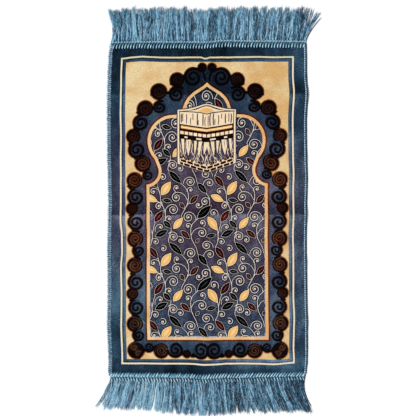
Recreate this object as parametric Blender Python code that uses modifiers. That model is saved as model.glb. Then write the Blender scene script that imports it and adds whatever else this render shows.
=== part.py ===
"""A velvet prayer rug lying flat on a floor, with overlocked sides and a yarn fringe at each end.

Metres, +Z up out of the floor, +Y towards the end where the niche points, and the origin on the
floor under the middle of the cloth. The cloth is one sheet that keeps the soft creases of its
folding; the thread that binds each side wraps round a thinned selvedge; each fringe is a narrow
tape whose outer side runs out into locks of yarn.
"""

import math

import bmesh
import bpy

# Driving sizes of the flat rug
RUG_WIDTH = 0.650  # over the bound sides
CLOTH_LENGTH = 1.086  # between the two fringe tapes
CLOTH_THICKNESS = 0.0030  # ground weave and pile together
CLEARANCE = 0.0003  # between pieces that touch

# Overlocked sides: a layer of thread round a selvedge without pile
BINDING_WIDTH = 0.0090  # how far the thread reaches onto the cloth
THREAD_LAYER = 0.0007
SELVEDGE_THICKNESS = 0.0010
PILE_SHOULDER = 0.0007  # the slope from full pile down to the selvedge

# Fringes
TAPE_WIDTH = 0.0070
TAPE_THICKNESS = 0.0020
LOCKS_PER_END = 84
LOCK_SHARE = 0.42  # of the space to each neighbour that a lock fills
LOCK_STEPS = (0.22, 0.5, 0.78, 1.0)  # where along its length a lock's section changes
LOCK_SWELL = (1.2, 1.15, 0.95, 0.55)  # its height there, in tape thicknesses
LOCK_BEND = 1.3  # locks leave the tape square and bend over as this power of the length

# Creases left by folding the rug across, as it was packed
CROSS_CREASES = (
    # along, lift, half width
    (0.379, 0.0040, 0.036),
    (0.176, 0.0022, 0.030),
    (-0.013, 0.0045, 0.038),
    (-0.167, 0.0025, 0.030),
    (-0.362, 0.0026, 0.032),
)
# The crease down the middle, which fades before it reaches the ends
LONG_CREASE_ACROSS = -0.005
LONG_CREASE_LIFT = 0.0028
LONG_CREASE_HALF = 0.032
LONG_CREASE_REACH = 0.500
LONG_CREASE_FADE = 0.090

# How far the sides stray outwards from a straight line as the rug lies
SIDE_WANDER = (
    # along, left side, right side
    (-0.545, -0.0060, -0.0060),
    (-0.520, -0.0035, 0.0000),
    (-0.480, -0.0040, 0.0025),
    (-0.370, 0.0000, 0.0020),
    (-0.260, -0.0015, 0.0000),
    (-0.110, -0.0005, -0.0020),
    (0.010, -0.0035, -0.0005),
    (0.110, -0.0020, 0.0020),
    (0.180, 0.0000, -0.0005),
    (0.290, 0.0010, -0.0015),
    (0.385, 0.0000, 0.0030),
    (0.440, -0.0010, -0.0010),
    (0.500, -0.0040, -0.0010),
    (0.545, -0.0080, -0.0020),
)
# How far the ends stray outwards, and how near an end that begins
END_WANDER = (
    # across, far end, near end
    (-0.325, -0.0030, -0.0020),
    (-0.220, -0.0010, -0.0010),
    (-0.090, -0.0012, 0.0005),
    (-0.005, -0.0020, 0.0050),
    (0.047, 0.0035, 0.0020),
    (0.164, 0.0015, -0.0010),
    (0.325, 0.0005, -0.0040),
)
END_WANDER_FROM = 0.330
LOCKS_PER_STATION = 4  # the ends run straight over this many locks

# Each fringe: how far the tips lean to +X, and how long the locks are
FAR_FRINGE = (
    # across, lean, length
    (-0.325, -0.0050, 0.098),
    (-0.300, 0.0020, 0.101),
    (-0.160, 0.0000, 0.108),
    (0.000, 0.0020, 0.108),
    (0.150, 0.0060, 0.110),
    (0.260, 0.0100, 0.107),
    (0.300, 0.0110, 0.106),
    (0.310, 0.0280, 0.100),
    (0.325, 0.0500, 0.095),
)
NEAR_FRINGE = (
    # across, lean, length
    (-0.325, -0.0430, 0.098),
    (-0.250, -0.0250, 0.101),
    (-0.200, -0.0150, 0.103),
    (-0.100, -0.0050, 0.104),
    (0.000, 0.0000, 0.104),
    (0.060, 0.0080, 0.103),
    (0.120, 0.0200, 0.103),
    (0.200, 0.0280, 0.104),
    (0.325, 0.0200, 0.105),
)
# Where the fringes part, and how strongly locks gather away from those places
FAR_PARTINGS = (-0.255, -0.165, -0.050, 0.062, 0.128, 0.192, 0.250, 0.290)
NEAR_PARTINGS = (-0.285, -0.200, -0.140, -0.022, 0.100, 0.150, 0.245)
GATHER = 0.10

# Materials: colour as linear RGB, and roughness
VELVET_COLOUR = (0.045, 0.060, 0.115)
THREAD_COLOUR = (0.055, 0.130, 0.180)
YARN_COLOUR = (0.130, 0.290, 0.390)
VELVET_ROUGHNESS = 0.85
THREAD_ROUGHNESS = 0.60
YARN_ROUGHNESS = 0.65

LONGEST_ROW_GAP = 0.060  # between the mesh rows of the cloth


def smooth_between(table, place, column):
    """The value of one column of a table at a place, eased between its rows."""
    if place <= table[0][0]:
        return table[0][column]
    for lower, upper in zip(table, table[1:]):
        if place <= upper[0]:
            share = (place - lower[0]) / (upper[0] - lower[0])
            eased = share * share * (3 - 2 * share)
            return lower[column] + (upper[column] - lower[column]) * eased
    return table[-1][column]


def straight_between(table, place, column):
    """As smooth_between, but in straight runs."""
    if place <= table[0][0]:
        return table[0][column]
    for lower, upper in zip(table, table[1:]):
        if place <= upper[0]:
            share = (place - lower[0]) / (upper[0] - lower[0])
            return lower[column] + (upper[column] - lower[column]) * share
    return table[-1][column]


def hump(distance, half_width):
    """A soft crease's section: 1 on its line, 0 from half_width away."""
    if abs(distance) >= half_width:
        return 0.0
    return 0.5 * (1 + math.cos(math.pi * distance / half_width))


def lift(across, along):
    """How far the cloth stands off the floor at a point of the flat rug."""
    raised = sum(height * hump(along - centre, half) for centre, height, half in CROSS_CREASES)
    fading = (LONG_CREASE_REACH - abs(along)) / LONG_CREASE_FADE
    strength = min(1.0, max(0.0, fading))
    ridge = LONG_CREASE_LIFT * hump(across - LONG_CREASE_ACROSS, LONG_CREASE_HALF)
    return raised + ridge * strength * strength * (3 - 2 * strength)


def end_stations():
    """Places across the rug, each between two locks, where the line of an end may turn."""
    steps = LOCKS_PER_END // LOCKS_PER_STATION
    return [RUG_WIDTH * (step / steps - 0.5) for step in range(steps + 1)]


END_LINE = [
    (across, smooth_between(END_WANDER, across, 1), smooth_between(END_WANDER, across, 2))
    for across in end_stations()
]


def lay(across, along):
    """Where a point of the flat rug lies on the floor, as x and y."""
    outward = smooth_between(SIDE_WANDER, along, 1 if across < 0 else 2)
    onward = straight_between(END_LINE, across, 1 if along > 0 else 2)
    near_end = (abs(along) - END_WANDER_FROM) / (CLOTH_LENGTH / 2 - END_WANDER_FROM)
    share = min(1.0, max(0.0, near_end)) ** 2
    x = across * (1 + outward / (RUG_WIDTH / 2))
    return x, along + math.copysign(share, along) * onward


def cloth_rows():
    """The stations along the rug: five to each crease, and none far apart between them."""
    rows = {-CLOTH_LENGTH / 2, CLOTH_LENGTH / 2, -LONG_CREASE_REACH, LONG_CREASE_REACH}
    for centre, _, half in CROSS_CREASES:
        rows.update(centre + half * step / 2 for step in range(-2, 3))
    rows = sorted(rows)
    filled = [rows[0]]
    for row in rows[1:]:
        parts = math.ceil((row - filled[-1]) / LONGEST_ROW_GAP)
        start = filled[-1]
        filled.extend(start + (row - start) * n / parts for n in range(1, parts + 1))
    return filled


def material(name, colour, roughness):
    made = bpy.data.materials.new(name)
    made.use_nodes = True
    shader = made.node_tree.nodes["Principled BSDF"]
    shader.inputs["Base Color"].default_value = (*colour, 1)
    shader.inputs["Roughness"].default_value = roughness
    shader.inputs["Metallic"].default_value = 0.0
    return made


def add_object(name, mesh, collection, finish):
    mesh.materials.append(finish)
    made = bpy.data.objects.new(name, mesh)
    collection.objects.link(made)
    return made


def grid_mesh(name, columns, rows, place):
    """A sheet of quads, with place(column, row) giving each point."""
    sheet = bmesh.new()
    bmesh.ops.create_grid(sheet, x_segments=len(columns) - 1, y_segments=len(rows) - 1, size=1)
    sheet.verts.ensure_lookup_table()
    for index, vertex in enumerate(sheet.verts):
        row, column = divmod(index, len(columns))
        vertex.co = place(columns[column], rows[row])
    mesh = bpy.data.meshes.new(name)
    sheet.to_mesh(mesh)
    sheet.free()
    mesh.shade_smooth()
    return mesh


def solidify(piece, thickness, offset, shares=None):
    """Gives a sheet its thickness. shares holds each vertex's share of it."""
    modifier = piece.modifiers.new("thickness", "SOLIDIFY")
    modifier.thickness = thickness
    modifier.offset = offset
    if shares:
        group = piece.vertex_groups.new(name="thickness")
        for index, share in enumerate(shares):
            group.add([index], share, "REPLACE")
        modifier.vertex_group = group.name


def make_cloth(collection, finish):
    """The velvet: one sheet, thinned to a selvedge where the binding thread wraps it."""
    half = RUG_WIDTH / 2
    selvedge_end = half - THREAD_LAYER - 2 * CLEARANCE
    selvedge_start = half - BINDING_WIDTH - CLEARANCE
    pile_end = selvedge_start - PILE_SHOULDER
    crease = [LONG_CREASE_ACROSS + LONG_CREASE_HALF * step / 2 for step in range(-2, 3)]
    right_side = [pile_end, selvedge_start, selvedge_end]
    left_side = [-across for across in right_side]
    columns = sorted(left_side + end_stations()[1:-1] + crease + right_side)
    rows = cloth_rows()
    middle = CLOTH_THICKNESS / 2

    def place(across, along):
        return (*lay(across, along), middle + lift(across, along))

    cloth = add_object("rug_cloth", grid_mesh("rug_cloth", columns, rows, place), collection, finish)
    thin = SELVEDGE_THICKNESS / CLOTH_THICKNESS
    shares = [thin if abs(across) >= selvedge_start else 1.0 for across in columns] * len(rows)
    solidify(cloth, CLOTH_THICKNESS, 0.0, shares)


def make_binding(name, side, collection, finish):
    """Overlock thread down one side: a layer that goes over, round and under the selvedge."""
    radius = (CLOTH_THICKNESS - THREAD_LAYER) / 2
    turn_centre = RUG_WIDTH / 2 - THREAD_LAYER / 2 - radius
    inner_edge = RUG_WIDTH / 2 - BINDING_WIDTH
    turn = [math.radians(angle) for angle in (90, 45, 0, -45, -90)]
    around = [(turn_centre + radius * math.cos(a), radius * math.sin(a)) for a in turn]
    section = [(inner_edge, radius), *around, (inner_edge, -radius)]

    def place(point, along):
        out, height = point
        x, y = lay(side * out, along)
        return x, y, CLOTH_THICKNESS / 2 + height + lift(side * out, along)

    mesh = grid_mesh(name, section, cloth_rows(), place)
    solidify(add_object(name, mesh, collection, finish), THREAD_LAYER, 0.0)


def lock_roots():
    """The middle of each lock's root across the rug."""
    pitch = RUG_WIDTH / LOCKS_PER_END
    return [-RUG_WIDTH / 2 + pitch * (n + 0.5) for n in range(LOCKS_PER_END)]


def gathered(root, partings):
    """How far a lock's tip is drawn to the middle of its group, between two partings."""
    edges = [-RUG_WIDTH / 2, *partings, RUG_WIDTH / 2]
    for left, right in zip(edges, edges[1:]):
        if root <= right:
            return GATHER * ((left + right) / 2 - root)
    return 0.0


def lock_middle(root, share, table, partings):
    """Where a lock's middle is, as across and outwards, at a share of its length."""
    lean = straight_between(table, root, 1)
    length = straight_between(table, root, 2)
    bent = lean * share**LOCK_BEND + gathered(root, partings) * share
    return root + bent, TAPE_WIDTH + length * share


def make_fringe(name, end, table, partings, collection, finish):
    """A fringe: the tape is a row of quads, and each lock is drawn out of its outer edge."""
    roots = lock_roots()
    root_half = LOCK_SHARE * (roots[1] - roots[0])
    columns = sorted([root - root_half for root in roots] + [root + root_half for root in roots])
    inner = CLOTH_LENGTH / 2 + CLEARANCE
    comb = bmesh.new()
    weights = comb.verts.layers.float.new("height")

    def put(vertex, across, outward, height):
        x, y = lay(across, end * (inner + outward))
        vertex.co = (x, y, 0.0)
        vertex[weights] = height

    bmesh.ops.create_grid(comb, x_segments=len(columns) - 1, y_segments=1, size=1)
    comb.verts.ensure_lookup_table()
    outer_row = comb.verts[len(columns) :]
    for vertex, across in zip(comb.verts[: len(columns)], columns):
        put(vertex, across, 0.0, 1.0)
    for vertex, across in zip(outer_row, columns):
        put(vertex, across, TAPE_WIDTH, 1.0)
    tips = [
        comb.edges.get((outer_row[2 * n], outer_row[2 * n + 1])) for n in range(LOCKS_PER_END)
    ]
    for share, swell in zip(LOCK_STEPS, LOCK_SWELL):
        middles = [lock_middle(root, share, table, partings) for root in roots]
        for n, (across, outward) in enumerate(middles):
            to_left = across - middles[n - 1][0] if n else root_half / LOCK_SHARE
            to_right = middles[n + 1][0] - across if n + 1 < len(middles) else root_half / LOCK_SHARE
            drawn = bmesh.ops.extrude_edge_only(comb, edges=[tips[n]])["geom"]
            new = [item for item in drawn if isinstance(item, bmesh.types.BMVert)]
            new.sort(key=lambda vertex: vertex.co.x)
            put(new[0], across - min(LOCK_SHARE * to_left, root_half), outward, swell)
            put(new[1], across + min(LOCK_SHARE * to_right, root_half), outward, swell)
            tips[n] = comb.edges.get(new)
    bmesh.ops.recalc_face_normals(comb, faces=comb.faces)
    if comb.faces[0].normal.z < 0:
        bmesh.ops.reverse_faces(comb, faces=comb.faces)
    shares = [vertex[weights] / max(LOCK_SWELL) for vertex in comb.verts]
    mesh = bpy.data.meshes.new(name)
    comb.to_mesh(mesh)
    comb.free()
    fringe = add_object(name, mesh, collection, finish)
    solidify(fringe, TAPE_THICKNESS * max(LOCK_SWELL), 1.0, shares)


def main():
    for old in list(bpy.data.objects):
        bpy.data.objects.remove(old)
    rug = bpy.data.collections.new("prayer_rug")
    bpy.context.scene.collection.children.link(rug)
    velvet = material("velvet", VELVET_COLOUR, VELVET_ROUGHNESS)
    thread = material("overlock_thread", THREAD_COLOUR, THREAD_ROUGHNESS)
    yarn = material("fringe_yarn", YARN_COLOUR, YARN_ROUGHNESS)
    make_cloth(rug, velvet)
    make_binding("binding_left", -1, rug, thread)
    make_binding("binding_right", 1, rug, thread)
    make_fringe("fringe_far", 1, FAR_FRINGE, FAR_PARTINGS, rug, yarn)
    make_fringe("fringe_near", -1, NEAR_FRINGE, NEAR_PARTINGS, rug, yarn)


main()
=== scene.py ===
"""The finish of a velvet prayer rug that lies flat: its woven pattern, stitched edges and fringes.

Sizes are metres in the rug's own frame. Tables and the pattern's chart are in millimetres of the
flat rug, from its middle: across to the right, and along towards the top of the niche.
"""

import math
import random
from collections import namedtuple

import bpy
import numpy as np
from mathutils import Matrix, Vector
from mathutils.geometry import delaunay_2d_cdt


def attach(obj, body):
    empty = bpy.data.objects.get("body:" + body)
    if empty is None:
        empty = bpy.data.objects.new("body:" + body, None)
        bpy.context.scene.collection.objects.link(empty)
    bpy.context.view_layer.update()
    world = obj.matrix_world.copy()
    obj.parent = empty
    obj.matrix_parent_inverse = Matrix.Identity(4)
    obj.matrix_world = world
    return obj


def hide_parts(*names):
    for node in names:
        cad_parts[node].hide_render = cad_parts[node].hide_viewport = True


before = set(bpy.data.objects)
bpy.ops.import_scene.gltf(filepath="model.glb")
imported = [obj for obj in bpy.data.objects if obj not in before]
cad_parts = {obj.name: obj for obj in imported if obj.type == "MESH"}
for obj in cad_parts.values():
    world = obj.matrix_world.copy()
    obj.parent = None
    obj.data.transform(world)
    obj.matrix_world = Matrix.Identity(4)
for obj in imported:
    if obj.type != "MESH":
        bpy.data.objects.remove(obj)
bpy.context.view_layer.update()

MM = 0.001

# Sizes of the flat rug, as its solids have them
RUG_WIDTH = 0.650
CLOTH_LENGTH = 1.086
CLOTH_THICKNESS = 0.0030
BINDING_WIDTH = 0.0090
SELVEDGE_THICKNESS = 0.0010
PILE_SHOULDER = 0.0007
THREAD_LAYER = 0.0007
CLEARANCE = 0.0003
TAPE_WIDTH = 0.0070
HALF_WIDTH = RUG_WIDTH / 2
HALF_LENGTH = CLOTH_LENGTH / 2
SELVEDGE_START = HALF_WIDTH - BINDING_WIDTH - CLEARANCE
SELVEDGE_END = HALF_WIDTH - THREAD_LAYER - 2 * CLEARANCE
PILE_EDGE = SELVEDGE_START - PILE_SHOULDER
STATIONS = np.linspace(-HALF_WIDTH, HALF_WIDTH, 22)  # every fourth of a solid fringe's 84 locks

# How the rug lies: the same creases and uneven edges as its solids
CROSS_CREASES = (
    # along, lift, half width
    (379, 4, 36), (176, 2.2, 30), (-13, 4.5, 38), (-167, 2.5, 30), (-362, 2.6, 32),
)
LONG_CREASE_ACROSS = -0.005
LONG_CREASE_LIFT = 0.0028
LONG_CREASE_HALF = 0.032
LONG_CREASE_REACH = 0.500
LONG_CREASE_FADE = 0.090
SIDE_WANDER = (
    # along, then how far the left and the right side lie outwards
    (-545, -6, -6), (-520, -3.5, 0), (-480, -4, 2.5), (-370, 0, 2), (-260, -1.5, 0),
    (-110, -0.5, -2), (10, -3.5, -0.5), (110, -2, 2), (180, 0, -0.5), (290, 1, -1.5), (385, 0, 3),
    (440, -1, -1), (500, -4, -1), (545, -8, -2),
)
END_WANDER = (
    # across, then how far the far and the near end lie outwards
    (-325, -3, -2), (-220, -1, -1), (-90, -1.2, 0.5), (-5, -2, 5), (47, 3.5, 2), (164, 1.5, -1),
    (325, 0.5, -4),
)
END_WANDER_FROM = 0.330

# How the woven pattern is drawn out of true, in the same way as the tables above
PATTERN_WANDER = (
    (-282, -1.5, -1.3), (-245, 2.3, -1.3), (-215, 4.4, -1.6), (-190, 2.4, -1.4), (-150, 1, -1.3),
    (-100, 1, -1.8), (-50, 2.4, -2.1), (-10, 2.4, -0.2), (40, -0.4, -1), (60, -1.1, -2.4),
    (100, 0.2, -2.2), (164, 1.8, -0.6), (215, 0.8, 1.8), (282, 2, -2.6),
)
PATTERN_WANDER_GAIN = 1.3  # it starts further in than the cloth's own ends do
# The far frame line dips here, beside the long crease
DIP, DIP_ACROSS, DIP_HALF, DIP_FROM, DIP_FADE = 0.0046, -0.007, 0.016, 0.486, 0.008
# How far it is drawn to the right, at six places across
DRAWN_AT = (-282, -235, -110, 130, 235, 282)
DRAWN_SIDEWAYS = (
    # along, then how far at each of those
    (-545, -0.5, -0.5, -0.5, -0.5, -0.5, -0.5), (-500, -0.5, -0.5, -0.5, -0.5, -0.5, -2),
    (-450, -0.5, -0.5, -0.5, -0.5, -0.5, -4), (-395, -0.5, -0.5, 1, 0.5, -0.5, -2.5),
    (-340, 0, -0.5, -1, -1, -0.5, -1), (-285, -0.5, -1.5, -2, -1.5, 0, -2.5),
    (-185, -2, -2, -1, -1, 0, -1.5), (-130, 2, -1, 0, -1, 0, -1),
    (-80, 1, -0.5, -1, -3, -0.5, -2.5), (-30, -5, -4, -1.5, -3, 0.5, -1.5),
    (20, -5, -3.5, -2.5, -3, -1, -2), (75, -4, -4, -2, -3, -2.5, -4),
    (130, -3, -3.5, -2.5, -4, -2, -3), (180, -2, -3.5, -3, -4, -2.5, -3),
    (250, -0.5, -3.5, -3.5, -4, -2, -3), (330, -2, -3, -3, -3, -3, -3.5),
    (400, -1, -3, -1.5, -3, -3, -3), (440, -1.5, -3, -0.5, -3, -3, -3),
    (545, -2, -3, -3, -3, -3, -2),
)
DRAWN_ALONG = (
    # along, then how far towards the far end at the left, in the middle and at the right
    (-410, 0, 0, 0), (-350, -2.5, -2.5, -2.5), (-320, -2.5, -3.5, -3.5), (-290, -2, -3, -3),
    (-240, -1, -1.5, -1), (-186, 3, 1, 3), (-133, 3, 2, 3), (-80, 1, -0.5, 0.5), (20, 0, 0, 0),
    (75, 1.5, 1, 3), (126, 2, 0, 4), (200, 0.5, -0.5, 2), (260, 1.5, 0, 3), (310, 2, 0, 3),
    (360, 0.5, 0, 0),
)
DRAWN_REACH = 0.135
FIELD_SIDE = 0.215
SKEW, SKEW_REACH, SKEW_FADE = 0.006, 0.440, 0.060  # the weft runs up to the right by this share
SIDE_FADE = 0.020
END_FADE = 0.030


def smooth(share):
    return share * share * (3 - 2 * share)


def column_of(table, number, unit):
    rows = np.array(table)
    return rows[:, 0] * MM, rows[:, number] * unit


def eased(table, place, number, unit=MM):
    """A column of a table at places between its rows, eased from row to row."""
    at, values = column_of(table, number, unit)
    row = np.clip(np.searchsorted(at, place) - 1, 0, len(at) - 2)
    share = np.clip((place - at[row]) / (at[row + 1] - at[row]), 0, 1)
    return values[row] + (values[row + 1] - values[row]) * smooth(share)


def straight(table, place, number, unit=MM):
    """As eased, but in straight runs."""
    return np.interp(place, *column_of(table, number, unit))


def blended(table, across, along, first, reach, power, unit=MM):
    """Three columns of a table, for the left, the middle and the right, blended across the rug."""
    left, middle, right = (eased(table, along, first + n, unit) for n in range(3))
    share = np.clip(across / reach, -1, 1)
    return middle + np.where(share < 0, left - middle, right - middle) * np.abs(share) ** power


def hump(distance, half_width):
    inside = np.clip(np.abs(distance) / half_width, 0, 1)
    return 0.5 * (1 + np.cos(np.pi * inside))


def fade(place, stop, over):
    """1 around the middle of the rug, going down to 0 over the last stretch before the stop."""
    return np.clip((stop - np.abs(place)) / over, 0, 1)


def towards_end(along):
    """From 0, where the ends start to wander, to 1 at the ends."""
    return (np.abs(along) - END_WANDER_FROM) / (HALF_LENGTH - END_WANDER_FROM)


def lift(across, along):
    """How far the cloth stands off the floor at points of the flat rug."""
    raised = sum(height * MM * hump(along - at * MM, half * MM) for at, height, half in CROSS_CREASES)
    ridge = LONG_CREASE_LIFT * hump(across - LONG_CREASE_ACROSS, LONG_CREASE_HALF)
    return raised + ridge * smooth(fade(along, LONG_CREASE_REACH, LONG_CREASE_FADE))


def lay(across, along):
    """Where points of the flat rug lie on the floor, as x and y."""
    left_out, right_out = eased(SIDE_WANDER, along, 1), eased(SIDE_WANDER, along, 2)
    x = across * (1 + np.where(across < 0, left_out, right_out) / HALF_WIDTH)
    far_out, near_out = (np.interp(across, STATIONS, eased(END_WANDER, STATIONS, n)) for n in (1, 2))
    share = np.clip(towards_end(along), 0, 1) ** 2
    return x, along + share * np.where(along > 0, far_out, -near_out)


def drawn_sideways(across, along):
    columns = np.array([eased(DRAWN_SIDEWAYS, along, n + 1) for n in range(len(DRAWN_AT))])
    at = np.array(DRAWN_AT) * MM
    place = np.clip(np.searchsorted(at, across) - 1, 0, len(at) - 2)
    share = np.clip((across - at[place]) / (at[place + 1] - at[place]), 0, 1)
    each = np.arange(len(across))
    return columns[place, each] * (1 - share) + columns[place + 1, each] * share


def waver(across, along):
    """Moves points of the woven pattern as its weaving has drawn it out of true."""
    inside = fade(across, PILE_EDGE, SIDE_FADE)
    skewed = SKEW * across * fade(along, SKEW_REACH, SKEW_FADE) * inside
    drawn_along = blended(DRAWN_ALONG, across, along, 1, DRAWN_REACH, 2)
    moved = along + drawn_along * fade(across, FIELD_SIDE, SIDE_FADE) + skewed
    across = across + drawn_sideways(across, along) * inside
    before_end = fade(along, HALF_LENGTH, END_FADE)
    share = np.clip(towards_end(along) * PATTERN_WANDER_GAIN, 0, 1) ** 2 * before_end
    far_out, near_out = eased(PATTERN_WANDER, across, 1), eased(PATTERN_WANDER, across, 2)
    dip = DIP * hump(across - DIP_ACROSS, DIP_HALF) * np.clip((along - DIP_FROM) / DIP_FADE, 0, 1)
    return across, moved + share * np.where(along > 0, far_out, -near_out) - dip * before_end


# ---------------------------------------------------------------- the woven pattern, in mm

# The frame's rings, from the border inwards: half width, half length, yarn
FRAME_RINGS = (
    (284.2, 501.8, "cream"),
    (278.2, 495.8, "navy"),
    (273.6, 491.4, "steel"),
    (266.4, 484.5, "gold"),
)
FAR_LINE = 8  # how much of the cream ring's far side is yellower

# The niche's outline up its left side, from its foot. The rust line runs along it.
NICHE_FOOT = (-200.2, -423.0)
NICHE_SHOULDER = (-200.2, 88.0)
NICHE_NECK = ((-200.2, 128.0), 40.0)  # centre, radius
NICHE_LOBE = ((-107.0, 227.0), 88.0)
NICHE_DOME = ((-79.5, 340), (-74, 355), (-64.5, 371), (-48, 387), (-28, 400), (-14, 409), (0, 421))
RUST_HALF = 2.6
CREAM_BAND = 10.0
PALE_EDGE, PALE_UP_TO = 3.2, 40

# The chain of scrolls down the left side of the niche. In open scrolls a black line winds on
# steel blue, and the others are brown on black.
UPPER_SCROLLS = (
    # across, along, radius, kind
    (-16, 465.8, 15, "bud"), (-46.5, 436, 30.5, "open"), (-99, 426, 24, "dark"),
    (-99.5, 381, 26, "open"), (-157, 388, 26.5, "dark"), (-153.5, 338, 22, "open"),
    (-200, 333, 27, "dark"), (-214.5, 288, 26, "open"), (-238.5, 243.5, 24.5, "dark"),
    (-229, 200, 27.5, "open"), (-208, 154.5, 27, "filled"), (-193, 116, 18, "open"),
)
# One repeat of the chain beside the straight part, which is woven twice
SIDE_SCROLLS = (
    (-236, 101, 26, "filled"), (-233.5, 46, 27, "open"), (-244.5, 9, 20, "dark"),
    (-233, -36, 26, "open"), (-236, -90, 27, "filled"), (-226, -128, 20.5, "open"),
)
SIDE_REPEAT = 277.0
FOOT_SCROLLS = (
    (-235, -455, 28, "double"), (-193, -446, 16.5, "open"), (-152, -456, 25.5, "filled"),
    (-106, -454, 26, "open"), (-68, -466, 14, "bud"), (-22, -455, 27, "open"),
)
SCROLL_RIM = 2.2  # a rim of rust-brown shows on the gold side
DISK_INSET = 0.4
SCROLL_LINE = 9.2
LINE_NARROWS_BELOW = 23  # in scrolls with a smaller radius the line is narrower
# How an open scroll's line winds in: turns, share of the radius
WINDING = ((0, 1.0), (0.5, 0.99), (0.75, 0.94), (1.0, 0.63), (1.25, 0.53), (1.5, 0.44), (1.75, 0.28),
           (1.95, 0.10))
WINDING_TAPER = ((0.75, 1.0), (1.15, 0.92), (1.95, 0.80))  # turns, share of the line's width
WINDING_TURNS = 1.95
COIL_TURNS, COIL_STEPS = 1.9, 22  # the winding is drawn in these turns, with these steps in each
COIL_ARM, ARM_TURN = 6.0, 0.2  # it comes in from this far out, in this part of a turn
OPEN_EDGE = (-140, -90, -50)  # where the steel ground's edge runs on open scrolls, from the heading
BROWN_COILS = {
    # kind: radius, reach and width as shares of the scroll's radius, how far round from the
    # chain's heading it starts, turns, share of the radius left in the middle, steps a turn, yarn
    "filled": (0.84, 0.84, 0.19, 200, -2.35, 0.12, 16, "brown"),
    "dark": (0.74, 0.74, 0.19, 200, -2.0, 0.12, 16, "brown_dim"),
    "bud": (0.55, 0.62, 0.17, 180, -1.3, 0.14, 14, "brown_dim"),
}
# The black line from the top bud down to the niche's point
CROWN_LINE = ((-23, 464), (-17, 455), (-11.5, 445), (-8, 434), (-7, 423))
CROWN_WIDTH = 7.0

# The repeat of the niche's field. Its places count from the middle of the large black leaf.
REPEAT_WIDE, REPEAT_TALL = 216.5, 233.5
REPEAT_START = (-105.5, 110.0)
LET_OUT_FROM, LET_OUT = 240.0, 0.17  # above here the repeat is woven a sixth taller
FIELD_LEAVES = (
    # across, along, length, width, slant, yarn
    (1, -1, 62, 17, -45, "ink"), (-29, -37, 54, 24, 55, "amber"), (139, -69, 48, 19, -25, "amber"),
    (90, -37, 49, 16, -49, "ink"), (-25, -76, 35, 12, -11, "ink"),
    (63, -72, 42, 14.5, 46, "maroon"), (24, -92, 26, 12, -52, "maroon"),
    (-52, -127, 51, 17.5, 54, "maroon"), (97, -113, 67, 20.5, 42, "ink"),
    (10, -150, 49, 20, 50, "amber"), (124, -151, 56, 23, -55, "amber"),
    (-25, -154, 39, 14, -45, "ink"), (-44, -183, 50, 17, 26, "ink"),
    (34, -187, 43, 15, -42, "maroon"), (73, -207, 21, 10, 55, "maroon"),
    (119, -190, 36, 13, 13, "ink"), (146, -15, 51, 16.5, -54, "maroon"),
)
FIELD_TENDRILS = (
    # across, along, radius, reach of its stem, where the stem starts, turns (minus is clockwise)
    (50, -16, 17, 23, 195, -2.1), (5, -66, 17, 38, 345, 1.9), (-6, -105, 18, 29, 205, -2.1),
    (5, -35, 9, 14, 262, -1.4), (51, -42, 9, 13, 210, -1.2), (99, -80, 13, 17, 20, 1.7),
    (77, -91, 10, 16, 15, -1.4), (114, -20, 15, 23, 200, -1.7), (-39, -1, 11, 13, 120, -1.3),
    (-70, -47, 11, 22, 350, 1.3), (-53, -94, 11, 17, 40, 1.5), (44, -130, 18, 27, 340, 2),
    (-19, -134, 10, 15, 215, -1.2), (90, -148, 10, 14, 290, 1.3), (43, -158, 9, 13, 345, 1.3),
    (88, -181, 17, 35, 190, -1.9), (-6, -194, 15, 19, 150, -2), (18, -206, 11, 15, 120, -1.4),
    (-48, -162, 11, 24, 225, -1.2), (-64, -211, 12, 15, 160, -1.4), (127, -116, 13, 18, 320, 1.5),
    (103, 10, 16, 23, 340, 1.9),
)
FIELD_VINES = (
    # points across and along down each stem
    ((-56, -31), (-48, -58), (-46, -77), (-34, -107), (-31, -122), (-31, -137), (-37, -145)),
    ((-13, -166), (-13, -174), (-19, -193), (-22, -208), (-20, -213)),
    ((22, -22), (38, -40), (44, -56), (44, -74), (40, -90), (30, -108), (21, -125), (25, -132)),
    ((102, -52), (113, -68), (115, -84), (114, -97)),
    ((75, -135), (58, -151), (52, -166), (52, -182), (54, -199), (61, -216), (69, -233), (73, -252)),
    ((140, -172), (142, -198), (138, -217), (130, -231)), ((-64, -146), (-70, -166), (-75, -188)),
    ((160, -79), (167, -83), (174, -92)), ((50, -84), (44, -86), (40, -91)),
)
VINE_WIDTH = 2.6
TENDRIL_WIDTH = 2.7
DOT_RADIUS = 3.3
LEAF_EDGE = 1.4
LEAF_VEIN = 1.3
AMBER_WITHIN = 190  # no amber leaf has its middle further out than this
AMBER_PLUMP, DARK_PLUMP = 1.16, 1.34  # how much wider the leaves are than the table says
SHADE_WIDTH = 2.5

# The cube under its drape. Its belts are lower at the front corner than at its sides.
CUBE_HALF = 95.0
CUBE_BACK = ((-95, 329), (-62, 332), (-42, 337), (-26, 342), (-10, 347), (0, 348))
CUBE_EAVES = ((-91, 324), (-66, 323.5), (-40, 322), (-20, 320), (0, 315))
CUBE_ROOF = ((-84, 324.4), (-60, 326), (-34, 330), (-12, 338.5), (0, 341))
CUBE_ROOF_FRONT = ((40, 323.2), (0, 316.5), (-40, 323.2))
CUBE_ROOF_GOLD = ((-31, 325), (-14, 333), (-2, 337.5), (10, 333), (24, 325), (-2, 318))
CUBE_FOOT_SIDE, CUBE_FOOT_CORNER = 154.0, 124.0
CUBE_EDGE = (1.03, 2.5, 3)  # how much wider, higher and lower its dark edge is
ROOF_GROUND = (0.90, 4.2)  # how much narrower and lower the dark ground of the roof is
EAVES_HALF = 1.4
BELT_DROP = 14.0
FOOT_DROP = CUBE_FOOT_SIDE - CUBE_FOOT_CORNER
DRAPE_SIDE, DRAPE_TOP, DRAPE_FOOT = 88, 322, 160
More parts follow.
